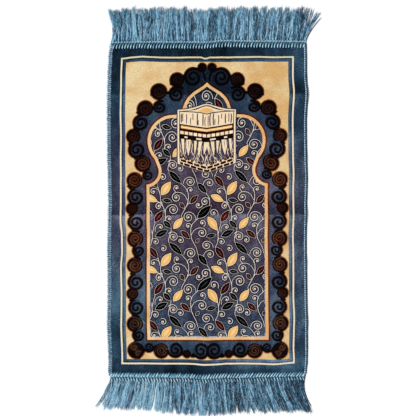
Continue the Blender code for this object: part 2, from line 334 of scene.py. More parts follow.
UPPER_FOLDS = (
    # across, top, bottom, half width
    (-82, 316, 288, 1.3), (-77, 318, 292, 0.9), (-66, 316, 284, 1), (-51, 304, 281, 0.8),
    (-45, 318, 296, 0.8), (-30, 318, 279, 1.3), (-26, 296, 279, 0.9), (-12, 316, 277, 1.3),
    (-4, 306, 274, 0.8), (5, 310, 275, 0.8), (12, 316, 277, 1.3), (23, 318, 279, 1.3),
    (27, 300, 280, 0.9), (38, 312, 281, 1), (50, 316, 300, 0.8), (62, 316, 284, 1.4),
    (72, 318, 290, 0.9), (79, 316, 286, 1.3),
)
FOLD_SWAY = 2.2
GOLD_BELT = (
    # top and foot at the cube's side, half width, yarn
    (284.4, 262.6, 88.5, "brick"), (280.2, 270.8, 84, "amber"), (277.2, 273.8, 84, "amber_light"),
)
BLOCK_PITCH, BLOCK_WIDE, JOINT_HALF = 14.6, 11.6, 1.4
BLOCK_HEIGHTS, JOINT_HEIGHTS, DASH_HEIGHTS = (262.2, 253.0), (263.0, 251.6), (247.2, 241.4)
DARK_BAND = ((252.6, 235.8, 88, "brick"), (250.6, 237.8, 88, "black"))
DASHES = ((-72, -62), (-34, -16), (11, 30), (57, 68))
GROUND_TOP = 237.5
LOWER_FALLS = (
    # across at the top, half width there, across at the point, how low the point is
    (-78, 5, -75, 183), (-59, 8, -60, 181), (-36, 4.5, -39, 184), (-20, 6, -27, 178),
    (-2, 6.5, -9, 184), (3, 5, 9, 184), (19, 6, 24, 180), (36, 4.5, 35, 188), (57, 8.5, 60, 182),
    (77, 4.5, 80, 188),
)
FLAME_LINES = (
    # pale lines between the falls: across and along at three points
    ((-88, 226), (-84, 204), (-88, 186)), ((-87, 200), (-80, 188), (-84, 174)),
    ((-70, 226), (-67, 206), (-72, 186)), ((-66, 196), (-72, 182), (-68, 172)),
    ((-50, 230), (-47, 208), (-52, 188)), ((-44, 220), (-49, 198), (-44, 180)),
    ((-46, 190), (-40, 178), (-46, 166)), ((-31, 206), (-22, 184), (-30, 168)),
    ((-24, 196), (-32, 180), (-22, 160)), ((-13, 212), (-18, 188), (-11, 166)),
    ((-20, 184), (-10, 172), (-15, 156)), ((-6, 190), (-2, 176), (-7, 160)),
    ((9, 210), (15, 188), (8, 164)), ((6, 188), (1, 172), (6, 158)),
    ((18, 184), (10, 172), (18, 156)), ((27, 204), (20, 184), (29, 166)),
    ((24, 176), (32, 168), (26, 160)), ((42, 228), (46, 206), (40, 184)),
    ((48, 220), (42, 200), (50, 178)), ((42, 182), (48, 172), (42, 164)),
    ((68, 226), (66, 206), (71, 184)), ((74, 204), (68, 190), (74, 174)),
    ((86, 228), (82, 208), (88, 190)), ((88, 200), (82, 186), (88, 176)),
)
BRICK_LONG, BRICK_TALL = 17.6, 7.6
BRICK_PITCH, COURSE_PITCH = 21.6, 10.4
WALL_TALL = 22
SMALLEST_BRICK = 3
FIRST_BRICK = (-BRICK_LONG / 2, 2.2)  # where even and odd courses start
UPRIGHT_BRICKS = (-84, -67, -48, -17, 15, 46, 62, 84)
LAMPS = ((-34, 20), (0, 34), (30, 20))  # across, how tall


def catmull(points, steps):
    """A smooth line through points."""
    ends = [points[0], *points, points[-1]]
    line = []
    for before, start, stop, after in zip(ends, ends[1:], ends[2:], ends[3:]):
        for step in range(steps):
            t = step / steps
            line.append(tuple(
                0.5 * (2 * b + (c - a) * t + (2 * a - 5 * b + 4 * c - d) * t * t
                       + (3 * b - a - 3 * c + d) * t ** 3)
                for a, b, c, d in zip(before, start, stop, after)
            ))
    return line + [points[-1]]


def arc(centre, radius, start, stop, steps):
    """Points on an arc from one angle in degrees to another."""
    angles = [math.radians(start + (stop - start) * n / steps) for n in range(steps + 1)]
    return [(centre[0] + radius * math.cos(a), centre[1] + radius * math.sin(a)) for a in angles]


def disk(centre, radius):
    return arc(centre, radius, 0, 345, 23)


def mirrored(line):
    return [(-x, y) for x, y in line]


def both_sides(line):
    """A line that ends in the middle, carried on over the right side."""
    return [*line, *mirrored(line[-2::-1])]


def neighbours(line):
    """The points before and after each point of an open line."""
    return zip([line[0], *line[:-1]], [*line[1:], line[-1]])


def ribbon(line, half_widths):
    """The outline of a strip along a line, with its half width at each point."""
    left, right = [], []
    for (x, y), (behind, ahead), half in zip(line, neighbours(line), half_widths):
        dx, dy = ahead[0] - behind[0], ahead[1] - behind[1]
        size = math.hypot(dx, dy) or 1.0
        nx, ny = -dy / size, dx / size
        left.append((x + nx * half, y + ny * half))
        right.append((x - nx * half, y - ny * half))
    return right + left[::-1]


def stem(line, width, taper=0.8):
    """A ribbon that is narrower at its ends."""
    last = len(line) - 1
    halves = [width / 2 * (taper + (1 - taper) * math.sin(math.pi * n / last)) for n in range(len(line))]
    return ribbon(line, halves)


def curl(centre, radius, reach, start, turns, inner, steps_a_turn=13):
    """A line that comes in from reach at the start angle, then winds into the centre."""
    count = int(abs(turns) * steps_a_turn)
    line = []
    for n in range(count + 1):
        turned = n / steps_a_turn
        angle = math.radians(start) + math.copysign(2 * math.pi * turned, turns)
        winding = radius * (1 - (1 - inner) * n / count)
        size = winding + (reach - radius) * max(0.0, 1 - turned / 0.3) ** 2
        line.append((centre[0] + size * math.cos(angle), centre[1] + size * math.sin(angle)))
    return line


def leaf(centre, length, width, slant):
    """A pointed leaf's outline, a little fuller towards its stalk."""
    side = [(t, math.sin(math.pi * (t + 1) / 2) ** 0.9 * (1 - 0.15 * t)) for t in np.linspace(-1, 1, 11)]
    outline = [(length / 2 * t, width / 2 * w) for t, w in side]
    outline += [(length / 2 * t, -width / 2 * w) for t, w in side[-2:0:-1]]
    cosine, sine = math.cos(math.radians(slant)), math.sin(math.radians(slant))
    return [(centre[0] + x * cosine - y * sine, centre[1] + x * sine + y * cosine) for x, y in outline]


def inset(outline, distance):
    """A closed outline moved inwards. The outline runs clockwise."""
    moved = []
    for before, here, after in zip(outline[-1:] + outline[:-1], outline, outline[1:] + outline[:1]):
        ways = []
        for one, other in ((before, here), (here, after)):
            size = math.hypot(other[0] - one[0], other[1] - one[1])
            ways.append(((other[1] - one[1]) / size, -(other[0] - one[0]) / size))
        middle = (ways[0][0] + ways[1][0], ways[0][1] + ways[1][1])
        size = math.hypot(*middle)
        reach = distance / max(size / 2, 0.5) / size
        moved.append((here[0] + middle[0] * reach, here[1] + middle[1] * reach))
    return moved


LONGEST_EDGE = 9.0


def shortened(outline):
    """A closed outline with its long edges divided, so that it can follow the cloth."""
    result = []
    for (x, y), (to_x, to_y) in zip(outline, outline[1:] + outline[:1]):
        parts = max(1, math.ceil(math.hypot(to_x - x, to_y - y) / LONGEST_EDGE))
        result += [(x + (to_x - x) * (n / parts), y + (to_y - y) * (n / parts)) for n in range(parts)]
    return result


def rectangle(half_wide, top, foot):
    return [(-half_wide, foot), (-half_wide, top), (half_wide, top), (half_wide, foot)]


def niche_outline():
    """The niche, clockwise from its left foot."""
    neck, lobe = arc(*NICHE_NECK, -90, 12, 9), arc(*NICHE_LOBE, 222, 90, 14)
    return both_sides([NICHE_FOOT, NICHE_SHOULDER, *neck[1:], *lobe, (-88, 316), *NICHE_DOME])


class Chart:
    """The pattern as coloured shapes, where a later shape covers the earlier ones."""

    def __init__(self):
        self.points = []
        self.shapes = []
        self.yarns = []
        self.only_inside = []  # the number of the shape that a motif is cut to, or None

    def add(self, outline, yarn, within=None):
        if within is not None and not self.may_meet(outline, within):
            return None
        area = sum(a[0] * b[1] - b[0] * a[1] for a, b in zip(outline, outline[1:] + outline[:1]))
        outline = shortened(outline[::-1] if area < 0 else outline)
        first = len(self.points)
        self.points.extend(outline)
        self.shapes.append(list(range(first, first + len(outline))))
        self.yarns.append(yarn)
        self.only_inside.append(within)
        return len(self.shapes) - 1

    def add_both(self, outline, yarn):
        """Adds a shape, and its mirror image on the right."""
        self.add(outline, yarn)
        self.add(mirrored(outline), yarn)

    def may_meet(self, outline, number):
        """Whether the boxes round an outline and an earlier shape overlap."""
        shape = [self.points[n] for n in self.shapes[number]]
        for axis in (0, 1):
            ours, theirs = [p[axis] for p in outline], [p[axis] for p in shape]
            if max(ours) < min(theirs) or min(ours) > max(theirs):
                return False
        return True


def chart_frame(chart):
    chart.add(rectangle(SELVEDGE_END / MM, HALF_LENGTH / MM, -HALF_LENGTH / MM), "navy")
    for half_wide, half_tall, yarn in FRAME_RINGS:
        chart.add(rectangle(half_wide, half_tall, -half_tall), yarn)
        if yarn == "cream":
            chart.add(rectangle(half_wide, half_tall, half_tall - FAR_LINE), "cream_old")


def all_scrolls():
    again = [(across, along - SIDE_REPEAT, radius, kind) for across, along, radius, kind in SIDE_SCROLLS]
    return [*UPPER_SCROLLS, *SIDE_SCROLLS, *again, *FOOT_SCROLLS]


def on_circle(centre, radius, angle):
    turned = math.radians(angle)
    return centre[0] + radius * math.cos(turned), centre[1] + radius * math.sin(turned)


def open_coil(centre, radius, start):
    """The black line of an open scroll, as strips that overlap. It comes in from the scroll before
    and winds to the middle."""
    width = SCROLL_LINE * min(1, radius / LINE_NARROWS_BELOW)
    line, halves = [], []
    count = int(COIL_TURNS * COIL_STEPS)
    for n in range(count + 1):
        turned = n / COIL_STEPS * WINDING_TURNS / COIL_TURNS
        size = (radius - width / 2) * np.interp(turned, *zip(*WINDING))
        size += COIL_ARM * max(0, 1 - turned / ARM_TURN) ** 2
        angle = math.radians(start) + 2 * math.pi * n / COIL_STEPS
        line.append((centre[0] + size * math.cos(angle), centre[1] + size * math.sin(angle)))
        halves.append(width / 2 * np.interp(turned, *zip(*WINDING_TAPER)))
    return [ribbon(line[n:n + 8], halves[n:n + 8]) for n in range(0, count - 1, 7)]


def chart_scrolls(chart):
    """The chain of scrolls. Inside it the ground is steel blue up to the niche."""
    chain = all_scrolls()
    # The way the chain runs at each scroll, in degrees
    ways = [math.degrees(math.atan2(b[1] - a[1], b[0] - a[0])) for a, b in neighbours(chain)]
    links, edge = [], []
    for here, after, way, next_way in zip(chain, chain[1:], ways, ways[1:]):
        # Where the line leaves one scroll and meets the next
        leaves, meets = (-35, 140) if here[3] == "open" else (-25, -150)
        links.append([on_circle(here, here[2], way + leaves), on_circle(after, after[2], next_way + meets)])
    for (across, along, radius, kind), way in zip(chain, ways):
        centre = (across, along)
        bends = OPEN_EDGE if kind == "open" else ()
        edge += [on_circle(centre, radius, way + bend) for bend in bends] or [centre]
        chart.add_both(disk(centre, radius + SCROLL_RIM), "rust_rim")
    for link in links:
        chart.add_both(ribbon(link, [SCROLL_LINE / 2 + SCROLL_RIM] * 2), "rust_rim")
    chart.add(edge[::-1] + mirrored(edge), "steel_deep")
    for (across, along, radius, kind), way in zip(chain, ways):
        centre = (across, along)
        chart.add_both(disk(centre, radius - DISK_INSET), "steel_dim" if kind == "open" else "black")
        if kind == "open":
            for strip in open_coil(centre, radius, way - 175):
                chart.add_both(strip, "black")
        elif kind == "double":
            for start in (60, 240):
                middle = on_circle(centre, radius * 0.44, start + 60)
                line = curl(middle, radius * 0.47, radius * 0.70, start, 1.5, 0.10, 14)
                chart.add_both(stem(line, radius * 0.27), "brown")
        else:
            size, reach, width, start, turns, inner, steps, yarn = BROWN_COILS[kind]
            line = curl(centre, radius * size, radius * reach, way + start, turns, inner, steps)
            chart.add_both(stem(line, radius * width, 0.7), yarn)
    for link in links:
        chart.add_both(ribbon(link, [SCROLL_LINE / 2] * 2), "black")
    chart.add_both(stem(catmull(CROWN_LINE, 3), CROWN_WIDTH, 0.9), "black")


def chart_niche(chart):
    """The niche's lines and its field. Returns the number of the field's shape."""
    outline = niche_outline()
    chart.add(inset(outline, -RUST_HALF), "rust")
    chart.add(inset(outline, RUST_HALF), "cream_band")
    field = chart.add(inset(outline, RUST_HALF + CREAM_BAND), "field")
    side, foot = -NICHE_FOOT[0] - RUST_HALF - CREAM_BAND, NICHE_FOOT[1] + RUST_HALF + CREAM_BAND
    inner = side - PALE_EDGE
    chart.add([
        (-side, PALE_UP_TO), (-side, foot), (side, foot), (side, PALE_UP_TO),
        (inner, foot + PALE_EDGE), (-inner, foot + PALE_EDGE),
    ], "pale", field)
    return field


def chart_repeat(chart, field, start, shade):
    """One repeat of vines, tendrils and leaves, cut to the field. With shade, only a dark edge of
    painted shade round each of them, where the pile leans over it."""

    def moved(line):
        placed = [(x + start[0], y + start[1]) for x, y in line]
        return [(x, y + LET_OUT * max(0, y - LET_OUT_FROM)) for x, y in placed]

    def add_leaf(middle, length, width, slant, yarn):
        chart.add(moved(leaf(middle, length, width, slant)), yarn, field)

    line_yarn = "field_shade" if shade else "vine"
    wider = 2 * SHADE_WIDTH if shade else 0
    for vine in FIELD_VINES:
        chart.add(stem(moved(catmull(vine, 4)), VINE_WIDTH + wider), line_yarn, field)
    for across, along, radius, reach, begin, turns in FIELD_TENDRILS:
        line = moved(curl((across, along), radius * 1.08, reach, begin, turns * 0.90, 0.26))
        chart.add(stem(line, TENDRIL_WIDTH + wider), line_yarn, field)
        if not shade:
            dot = arc((across, along), DOT_RADIUS * (0.7 + 0.02 * radius), 0, 315, 7)
            chart.add(moved(dot), "ivory", field)
    for across, along, length, width, slant, yarn in FIELD_LEAVES:
        middle = (across, along)
        if yarn == "amber" and abs(across + start[0]) > AMBER_WITHIN:
            continue
        width *= AMBER_PLUMP if yarn == "amber" else DARK_PLUMP
        if shade:
            add_leaf(middle, length + wider, width + wider, slant, "field_shade")
        elif yarn == "amber":
            add_leaf(middle, length, width, slant, "amber_light")
            add_leaf(middle, length - 5, width - 3.6, slant, "amber")
            add_leaf(middle, length * 0.62, width * 0.42, slant, "amber_vein")
            add_leaf(middle, length * 0.60, width * 0.09, slant, "amber_light")
        else:
            add_leaf(middle, length, width, slant, "vine")
            add_leaf(middle, length - 3.0 * LEAF_EDGE, width - 2 * LEAF_EDGE, slant, yarn)
            add_leaf(middle, length * 0.55, LEAF_VEIN, slant, yarn + "_vein")


def chart_field(chart, field):
    for shade in (True, False):
        for row in range(-2, 3):
            for column in (-1, 0, 1):
                start = (REPEAT_START[0] + REPEAT_WIDE * column, REPEAT_START[1] + REPEAT_TALL * row)
                chart_repeat(chart, field, start, shade)


def down(across, drop=BELT_DROP):
    """How much lower than at the cube's side a level line is, towards the front corner."""
    return drop * (1 - abs(across) / CUBE_HALF)


def level(places, height, drop=BELT_DROP):
    """A level line round the front corner, given its height at the cube's side."""
    return [(x, height - down(x, drop)) for x in places]


def belt(top, foot, half):
    return level((-half, 0, half), top) + level((half, 0, -half), foot)


def block(left, right, top, foot, drop=BELT_DROP):
    """A patch between two level lines on one side of the front corner."""
    return level((left, right), top, drop) + level((right, left), foot, drop)


def chart_roof(chart):
    """The cube's pale shape on its dark edge, and its roof with the dark line of the eaves."""
    foot = [(CUBE_HALF, CUBE_FOOT_SIDE), (0, CUBE_FOOT_CORNER), (-CUBE_HALF, CUBE_FOOT_SIDE)]
    back, eaves = both_sides(CUBE_BACK), both_sides(CUBE_EAVES)
    wider, above, below = CUBE_EDGE
    edge = [(x * wider, y + above) for x, y in back] + [(x * wider, y - below) for x, y in foot]
    chart.add(edge, "field")
    chart.add(back + foot, "ivory")
    chart.add([(x * ROOF_GROUND[0], y - ROOF_GROUND[1]) for x, y in back] + eaves[::-1], "field")
    chart.add([*both_sides(CUBE_ROOF), *CUBE_ROOF_FRONT], "ivory")
    chart.add(list(CUBE_ROOF_GOLD), "amber")
    chart.add(ribbon(eaves, [EAVES_HALF] * len(eaves)), "field")
    for side in (-DRAPE_SIDE, DRAPE_SIDE):
        chart.add(ribbon([(side, DRAPE_TOP), (side, DRAPE_FOOT)], [1.0, 1.0]), "field")


def chart_upper_fall(chart):
    """The folds of the drape's upper fall. Each sways a little to one side."""
    draw = random.Random(7)
    for across, top, foot, half in UPPER_FOLDS:
        sway = draw.uniform(-FOLD_SWAY, FOLD_SWAY)
        line = [(across, top), (across + sway, top * 0.6 + foot * 0.4), (across + sway * 0.3, foot)]
        widths = [1.2 * half * w for w in (0.5, 0.8, 1, 1, 1, 0.95, 0.9)]
        chart.add(ribbon(catmull(line, 3), widths), "field")


def chart_belts(chart):
    """The gold belt, the row of light blocks, and the dark band with its dashes."""
    for top, foot, half, yarn in GOLD_BELT:
        chart.add(belt(top, foot, half), yarn)
    for place in range(-6, 6):
        left = place * BLOCK_PITCH + JOINT_HALF
        yarn = "ivory_light" if place % 4 == 1 else "ivory"
        chart.add(block(left, left + BLOCK_WIDE, *BLOCK_HEIGHTS), yarn)
    for place in range(-6, 7):
        middle = place * BLOCK_PITCH
        chart.add(block(middle - JOINT_HALF, middle + JOINT_HALF, *JOINT_HEIGHTS), "brown_dim")
    for top, foot, half, yarn in DARK_BAND:
        chart.add(belt(top, foot, half), yarn)
    for left, right in DASHES:
        chart.add(block(left, right, *DASH_HEIGHTS), "ivory")


def chart_lower_fall(chart):
    """A dark ground, on which the lower fall hangs in points between pale lines."""
    side = DRAPE_SIDE - 1
    ground = level((-side, 0, side), GROUND_TOP)
    chart.add(ground + level((side, 0, -side), CUBE_FOOT_SIDE + 26, FOOT_DROP), "field")
    for line in FLAME_LINES:
        chart.add(ribbon(catmull(line, 3), [0.6, 0.9, 1.1, 1.2, 1.1, 0.9, 0.6]), "ivory")
    for top, half, point, low in LOWER_FALLS:
        height = GROUND_TOP - down(top)
        middle = (top + point) / 2
        waist = height * 0.45 + low * 0.55
        chart.add([
            (top - half, height), (top + half, height), (middle + half * 0.78, waist),
            (point + 0.8, low), (point - 0.8, low), (middle - half * 0.78, waist),
        ], "ivory")
        if half > 7:
            chart.add([(top - 0.7, height - 4), (top + 0.7, height - 4), (point + 0.4, waist)], "field")


def chart_brick(chart):
    """Brick in courses along the foot, with pointed bricks and three lamps above them."""
    wall = level((-DRAPE_SIDE, 0, DRAPE_SIDE), CUBE_FOOT_SIDE + WALL_TALL, FOOT_DROP)
    chart.add(wall + level((DRAPE_SIDE, 0, -DRAPE_SIDE), CUBE_FOOT_SIDE, FOOT_DROP), "ivory")
    for course in range(3):
        base = CUBE_FOOT_SIDE + 1.2 + COURSE_PITCH * course
        for side in (-1, 1):
            left = FIRST_BRICK[course % 2]
            while left < DRAPE_SIDE - 2:
                ends = sorted((side * max(left, 0), side * min(left + BRICK_LONG, DRAPE_SIDE - 1)))
                missing = course == 2 and int(left) % 3 == 1
                if ends[1] - ends[0] > SMALLEST_BRICK and not missing:
                    chart.add(block(*ends, base + BRICK_TALL, base, FOOT_DROP), "brick")
                left += BRICK_PITCH
    for across in UPRIGHT_BRICKS:
        base = CUBE_FOOT_SIDE + 21 - down(across, FOOT_DROP)
        for half, tall, yarn in ((6, 13, "ivory"), (5, 11, "brick")):
            chart.add([(across - half, base), (across, base + tall), (across + half, base)], yarn)
    for across, tall in LAMPS:
        base = CUBE_FOOT_SIDE + WALL_TALL - down(across, FOOT_DROP)
        for half, foot, waist, top, yarn in ((7, 6, 0.3, 1, "ivory"), (4.6, 2, 0.32, 0.78, "field")):
            middle = base + tall * waist
            chart.add([(across, base - foot), (across - half, middle), (across, base + tall * top),
                       (across + half, middle)], yarn)
        chart.add(arc((across, base + tall * 0.3), 1.8, 0, 300, 5), "ivory_light")


def draw_pattern():
    chart = Chart()
    chart_frame(chart)
    chart_scrolls(chart)
    chart_field(chart, chart_niche(chart))
    for draw_part in (chart_roof, chart_upper_fall, chart_belts, chart_lower_fall, chart_brick):
        draw_part(chart)
    return chart


# ---------------------------------------------------------------- the cloth

GRID_STEP = 8.0
WEAVE_DEPTH = 0.0005  # how far the flat-woven colours lie below the pile
EDGE_SLOPE = 0.0004  # how far a pile edge leans out over the flat weave
BACK_STEP = 0.025
CDT = (1, 1e-4, True)  # how cloth is cut: keep its inside, merge places this close, say which

PILE_COLOURS = {
    # yarn: painted shade where the pile leans away from the light, upright, painted sheen where it catches
    # it; then the same in its cooler painted sheen
    "navy": (("#0f131e", "#383c50", "#727686"), ("#08121a", "#223a4e", "#547489")),
    "steel": (("#262c40", "#505870", "#8c92a4"), ("#1c3044", "#405a74", "#7894aa")),
    "steel_deep": (("#161622", "#404054", "#7a7a92"), ("#0e1824", "#2a4056", "#627e92")),
    "steel_dim": (("#10111c", "#30344a", "#6c7284"), ("#0a101a", "#1e2e42", "#4c6278")),
    "field": (("#140a14", "#443648", "#7e7a90"), ("#080e18", "#2a384e", "#667e94")),
    "field_shade": (("#060306", "#140a12", "#302630"), ("#030508", "#0a0e16", "#262e38")),
    "rust_rim": (("#64300f", "#9c5c30", "#c08050"), ("#64300f", "#965a32", "#b87c50")),
    "rust": (("#240602", "#5c1e0c", "#8c4220"), ("#200602", "#54200e", "#7c3c22")),
    "maroon": (("#100203", "#300507", "#4c0e10"), ("#0e0203", "#2a0508", "#401012")),
    "maroon_vein": (("#5c3028", "#8c6054", "#b08c7c"), ("#5c3028", "#8c6054", "#b08c7c")),
    "brick": (("#0c0202", "#2c0605", "#4c100e"), ("#0c0202", "#2c0605", "#4c100e")),
    "black": (("#060201", "#120806", "#26140e"), ("#040202", "#0c0606", "#1c1410")),
    "ink": (("#000101", "#020505", "#0a0e0e"), ("#000101", "#020505", "#0a0e0e")),
    "ink_vein": (("#2c2e2c", "#565a54", "#7c8074"), ("#2c2e2c", "#565a54", "#7c8074")),
    "brown": (("#180704", "#4c2416", "#7e4a30"), ("#140905", "#382218", "#604834")),
    "brown_dim": (("#120504", "#38160e", "#603020"), ("#0e0608", "#2a140e", "#502a20")),
}
AGED = "#eacfae"
WEAVE_COLOURS = {
    # yarn: its darker colour, with painted shade between the threads, its lighter colour, on them and as
    # painted sheen along the ribs, and how much it has aged in clouds and is warmer and deeper towards the
    # right
    "pale": ("#707a94", "#aab4c6", 0.0),
    "gold": ("#c4a468", "#f6e4b8", 1.0),
    "cream": ("#ccb890", "#fff4dc", 0.15),
    "cream_old": ("#b4a87c", "#eee4bc", 0.1),
    "vine": ("#b0a4a0", "#fcf2ea", 0.0),
    "cream_band": ("#d0a468", "#fae0b0", 1.0),
    "ivory": ("#dcb88e", "#fff0d0", 0.15),
    "ivory_light": ("#ecd8b0", "#fff6e0", 0.0),
    "amber": ("#ca9248", "#f8c87c", 0.25),
    "amber_vein": ("#dca45c", "#fcd288", 0.2),
    "amber_light": ("#ecc482", "#fff0c0", 0.1),
}
YARNS = (*PILE_COLOURS, *WEAVE_COLOURS)

# Painted sheen and painted shade where hands and folds have left the pile leaning
PILE_REACH = 0.300
PAINTED_SHEEN_ALONG = (
    # along, how much painted sheen (plus) or painted shade (minus) at the left, middle and right, how much
    # cooler painted sheen at each
    (-545, -0.3, -0.85, -0.45, 1, 0.9, 1), (-524, -0.24, -0.75, -0.3, 1, 0.9, 1),
    (-506, 0.04, -0.4, 0.22, 1, 0.9, 1), (-490, -0.05, -0.4, 0.3, 1, 0.9, 0.9),
    (-440, 0.1, -0.1, -0.1, 1, 0.9, 0.8), (-390, -0.2, 0.2, 0, 1, 0.9, 0.8),
    (-350, 0.3, -0.1, 0.4, 1, 0.8, 0.8), (-300, 0.45, 0.05, 0.3, 1, 0.7, 0.7),
    (-240, 0.42, -0.15, -0.1, 0.8, 0.5, 0.6), (-185, 0.1, -0.15, 0.1, 0.5, 0.3, 0.5),
    (-130, 0.22, -0.1, 0.35, 0.4, 0.1, 0.4), (-80, 0.12, -0.1, 0.1, 0.1, 0.1, 0.3),
    (-30, 0.08, -0.03, 0.15, 0, 0.1, 0.3), (20, -0.2, -0.1, -0.12, 0, 0, 0.1),
    (80, 0, 0.06, 0.3, 0, 0, 0.2), (130, -0.24, -0.08, 0.14, 0.1, 0.1, 0.3),
    (180, -0.2, -0.05, -0.1, 0.2, 0.2, 0.5), (240, -0.25, -0.15, 0.2, 0.4, 0.5, 0.8),
    (290, -0.25, -0.2, -0.3, 0.7, 0.7, 0.8), (340, -0.2, -0.42, -0.45, 0.9, 0.9, 0.8),
    (400, -0.15, -0.85, -0.4, 1, 1, 1), (450, -0.6, -0.75, 0.15, 1, 1, 1),
    (545, -0.75, -0.9, -0.15, 1, 1, 1),
)
# The near border has painted sheen right of its middle and painted shade left of it, as if brushed two ways
PAINTED_PARTING_BELOW, PAINTED_PARTING_BY = -0.470, 0.30
CREASE_PAINTED_SHEEN = (
    # crease along, how strong the painted sheen and shade beside it are, how far they reach
    (379, 0.55, 50), (176, 0.22, 30), (-13, 0.95, 26), (-167, 0.2, 30), (-362, 0.25, 35),
)


def painted_sheen_over_pile(across, along, first):
    return blended(PAINTED_SHEEN_ALONG, across, along, first, PILE_REACH, 1, 1)


def pile_painted_sheen(across, along):
    """Painted sheen of the pile: from -1, painted shade where it leans away from the light, to 1, painted
    sheen where it catches it.
    """
    wave = 0.002 * np.sin(across * 24) + 0.0015 * np.sin(across * 61 + 1)
    total = painted_sheen_over_pile(across, along, 1)
    for crease, strength, reach in CREASE_PAINTED_SHEEN:
        # Painted sheen just below each cross crease, and painted shade just above it
        below = crease * MM + wave - along
        uneven = 0.65 + 0.35 * np.sin(across * 19 + crease * MM * 40)
        turned = strength * np.exp(-np.abs(below) / (reach * MM))
        total = total + turned * np.where(below > 0, uneven, -0.5)
    total = total + PAINTED_PARTING_BY * np.tanh(across / 0.015) * np.clip((PAINTED_PARTING_BELOW - along) / 0.02, 0, 1)
    return np.clip(total, -1, 1)


def cloth_half_thickness(across):
    """Half the cloth's thickness: full under the pile, thin in the selvedge."""
    thin, full = SELVEDGE_THICKNESS / 2, CLOTH_THICKNESS / 2
    return full + (thin - full) * np.clip((np.abs(across) - SELVEDGE_START) / PILE_SHOULDER + 1, 0, 1)


def grid_places(half):
    return np.arange(-math.floor(half / GRID_STEP), half / GRID_STEP) * GRID_STEP


def triangulate(chart):
    """Cuts the flat cloth along every line of the pattern. Returns places, triangles and yarns."""
    half_wide, half_tall = SELVEDGE_END / MM, HALF_LENGTH / MM
    columns, rows = grid_places(half_wide), grid_places(half_tall)
    columns = [*columns, *(side * edge / MM for side in (-1, 1) for edge in (PILE_EDGE, SELVEDGE_START))]
    grid = [(x, y) for x in columns for y in rows]
    rim = [(side * half_wide, y) for side in (-1, 1) for y in rows]
    rim += [(x, side * half_tall) for side in (-1, 1) for x in columns]
    points = [Vector(point) for point in [*chart.points, *grid, *rim]]
    places, _, triangles, _, _, covers = delaunay_2d_cdt(points, [], chart.shapes, *CDT)
    yarns = []
    for cover in covers:
        seen = [n for n in cover if chart.only_inside[n] is None or chart.only_inside[n] in cover]
        yarns.append(YARNS.index(chart.yarns[max(seen)]))
    return np.array(places), np.array(triangles), np.array(yarns)


def weave_face():
    """The face of the flat cloth, with walls where the pile stands over the low flat weave.
    Returns places, how far each is sunk, faces, their yarns, and the rim's places in order."""
    places, triangles, yarns = triangulate(draw_pattern())
    is_low = np.array([name in WEAVE_COLOURS for name in YARNS])[yarns]
    count = len(places)
    # A place that flat weave and pile share gets two vertices, and the low one leans to the weave
    touches_low, touches_high = np.zeros(count, bool), np.zeros(count, bool)
    touches_low[triangles[is_low]] = True
    touches_high[triangles[~is_low]] = True
    shared = touches_low & touches_high
    low_vertex = np.arange(count)
    low_vertex[shared] = count + np.arange(shared.sum())
    middles = places[triangles].mean(axis=1)[is_low]
    pull, pulls = np.zeros((count, 2)), np.zeros(count)
    for corner in triangles[is_low].T:
        np.add.at(pull, corner, middles)
        np.add.at(pulls, corner, 1)
    toward = pull[shared] / pulls[shared][:, None] - places[shared]
    size = np.linalg.norm(toward, axis=1, keepdims=True)
    step = np.minimum(EDGE_SLOPE / MM, size * 0.4)
    leaned = places[shared] + toward / np.maximum(size, 1e-6) * step
    flat = np.vstack([places, leaned]) * MM
    sunk = np.full(len(flat), WEAVE_DEPTH)
    sunk[:count][touches_high | ~touches_low] = 0
    lowered = np.where(is_low[:, None], low_vertex[triangles], triangles)
    faces, face_yarns = [tuple(face) for face in lowered.tolist()], yarns.tolist()
    owner = {}
    for number, (a, b, c) in enumerate(triangles.tolist()):
        owner.update({edge: number for edge in ((a, b), (b, c), (c, a))})
    for (a, b), number in owner.items():
        other = owner.get((b, a))
        if other is not None and is_low[other] and not is_low[number]:
            faces.append((b, a, int(low_vertex[a]), int(low_vertex[b])))
            face_yarns.append(face_yarns[number])
    return flat, sunk, faces, face_yarns, rim_of(owner)


def rim_of(owner):
    """The vertices round the cloth's edge, in order, from the edges of all its triangles."""
    following = {a: b for (a, b) in owner if (b, a) not in owner}
    ring = [min(following)]
    while following[ring[-1]] != ring[0]:
        ring.append(following[ring[-1]])
    return ring


def weave_back(rim):
    """The back of the flat cloth, as a coarser net of faces in the same rim. Returns places,
    faces, and the place under each place of the rim."""
    columns, rows = (np.arange(-half + BACK_STEP, half - BACK_STEP / 2, BACK_STEP)
                     for half in (HALF_WIDTH, HALF_LENGTH))
    points = [*rim, *((u, v) for u in columns for v in rows)]
    outline = list(range(len(rim)))
    points = [Vector(np.array(point) / MM) for point in points]
    places, _, faces, origins, _, _ = delaunay_2d_cdt(points, [], [outline], *CDT)
    under = {source: n for n, origin in enumerate(origins) for source in origin if source < len(rim)}
    return np.array(places) * MM, faces, under


def shown(name, data):
    made = bpy.data.objects.new(name, data)
    bpy.context.scene.collection.objects.link(made)
    return made


def store(mesh, name, values):
    """Keeps a value at each of a mesh's points."""
    mesh.attributes.new(name, "FLOAT", "POINT").data.foreach_set("value", values.astype(np.float32))


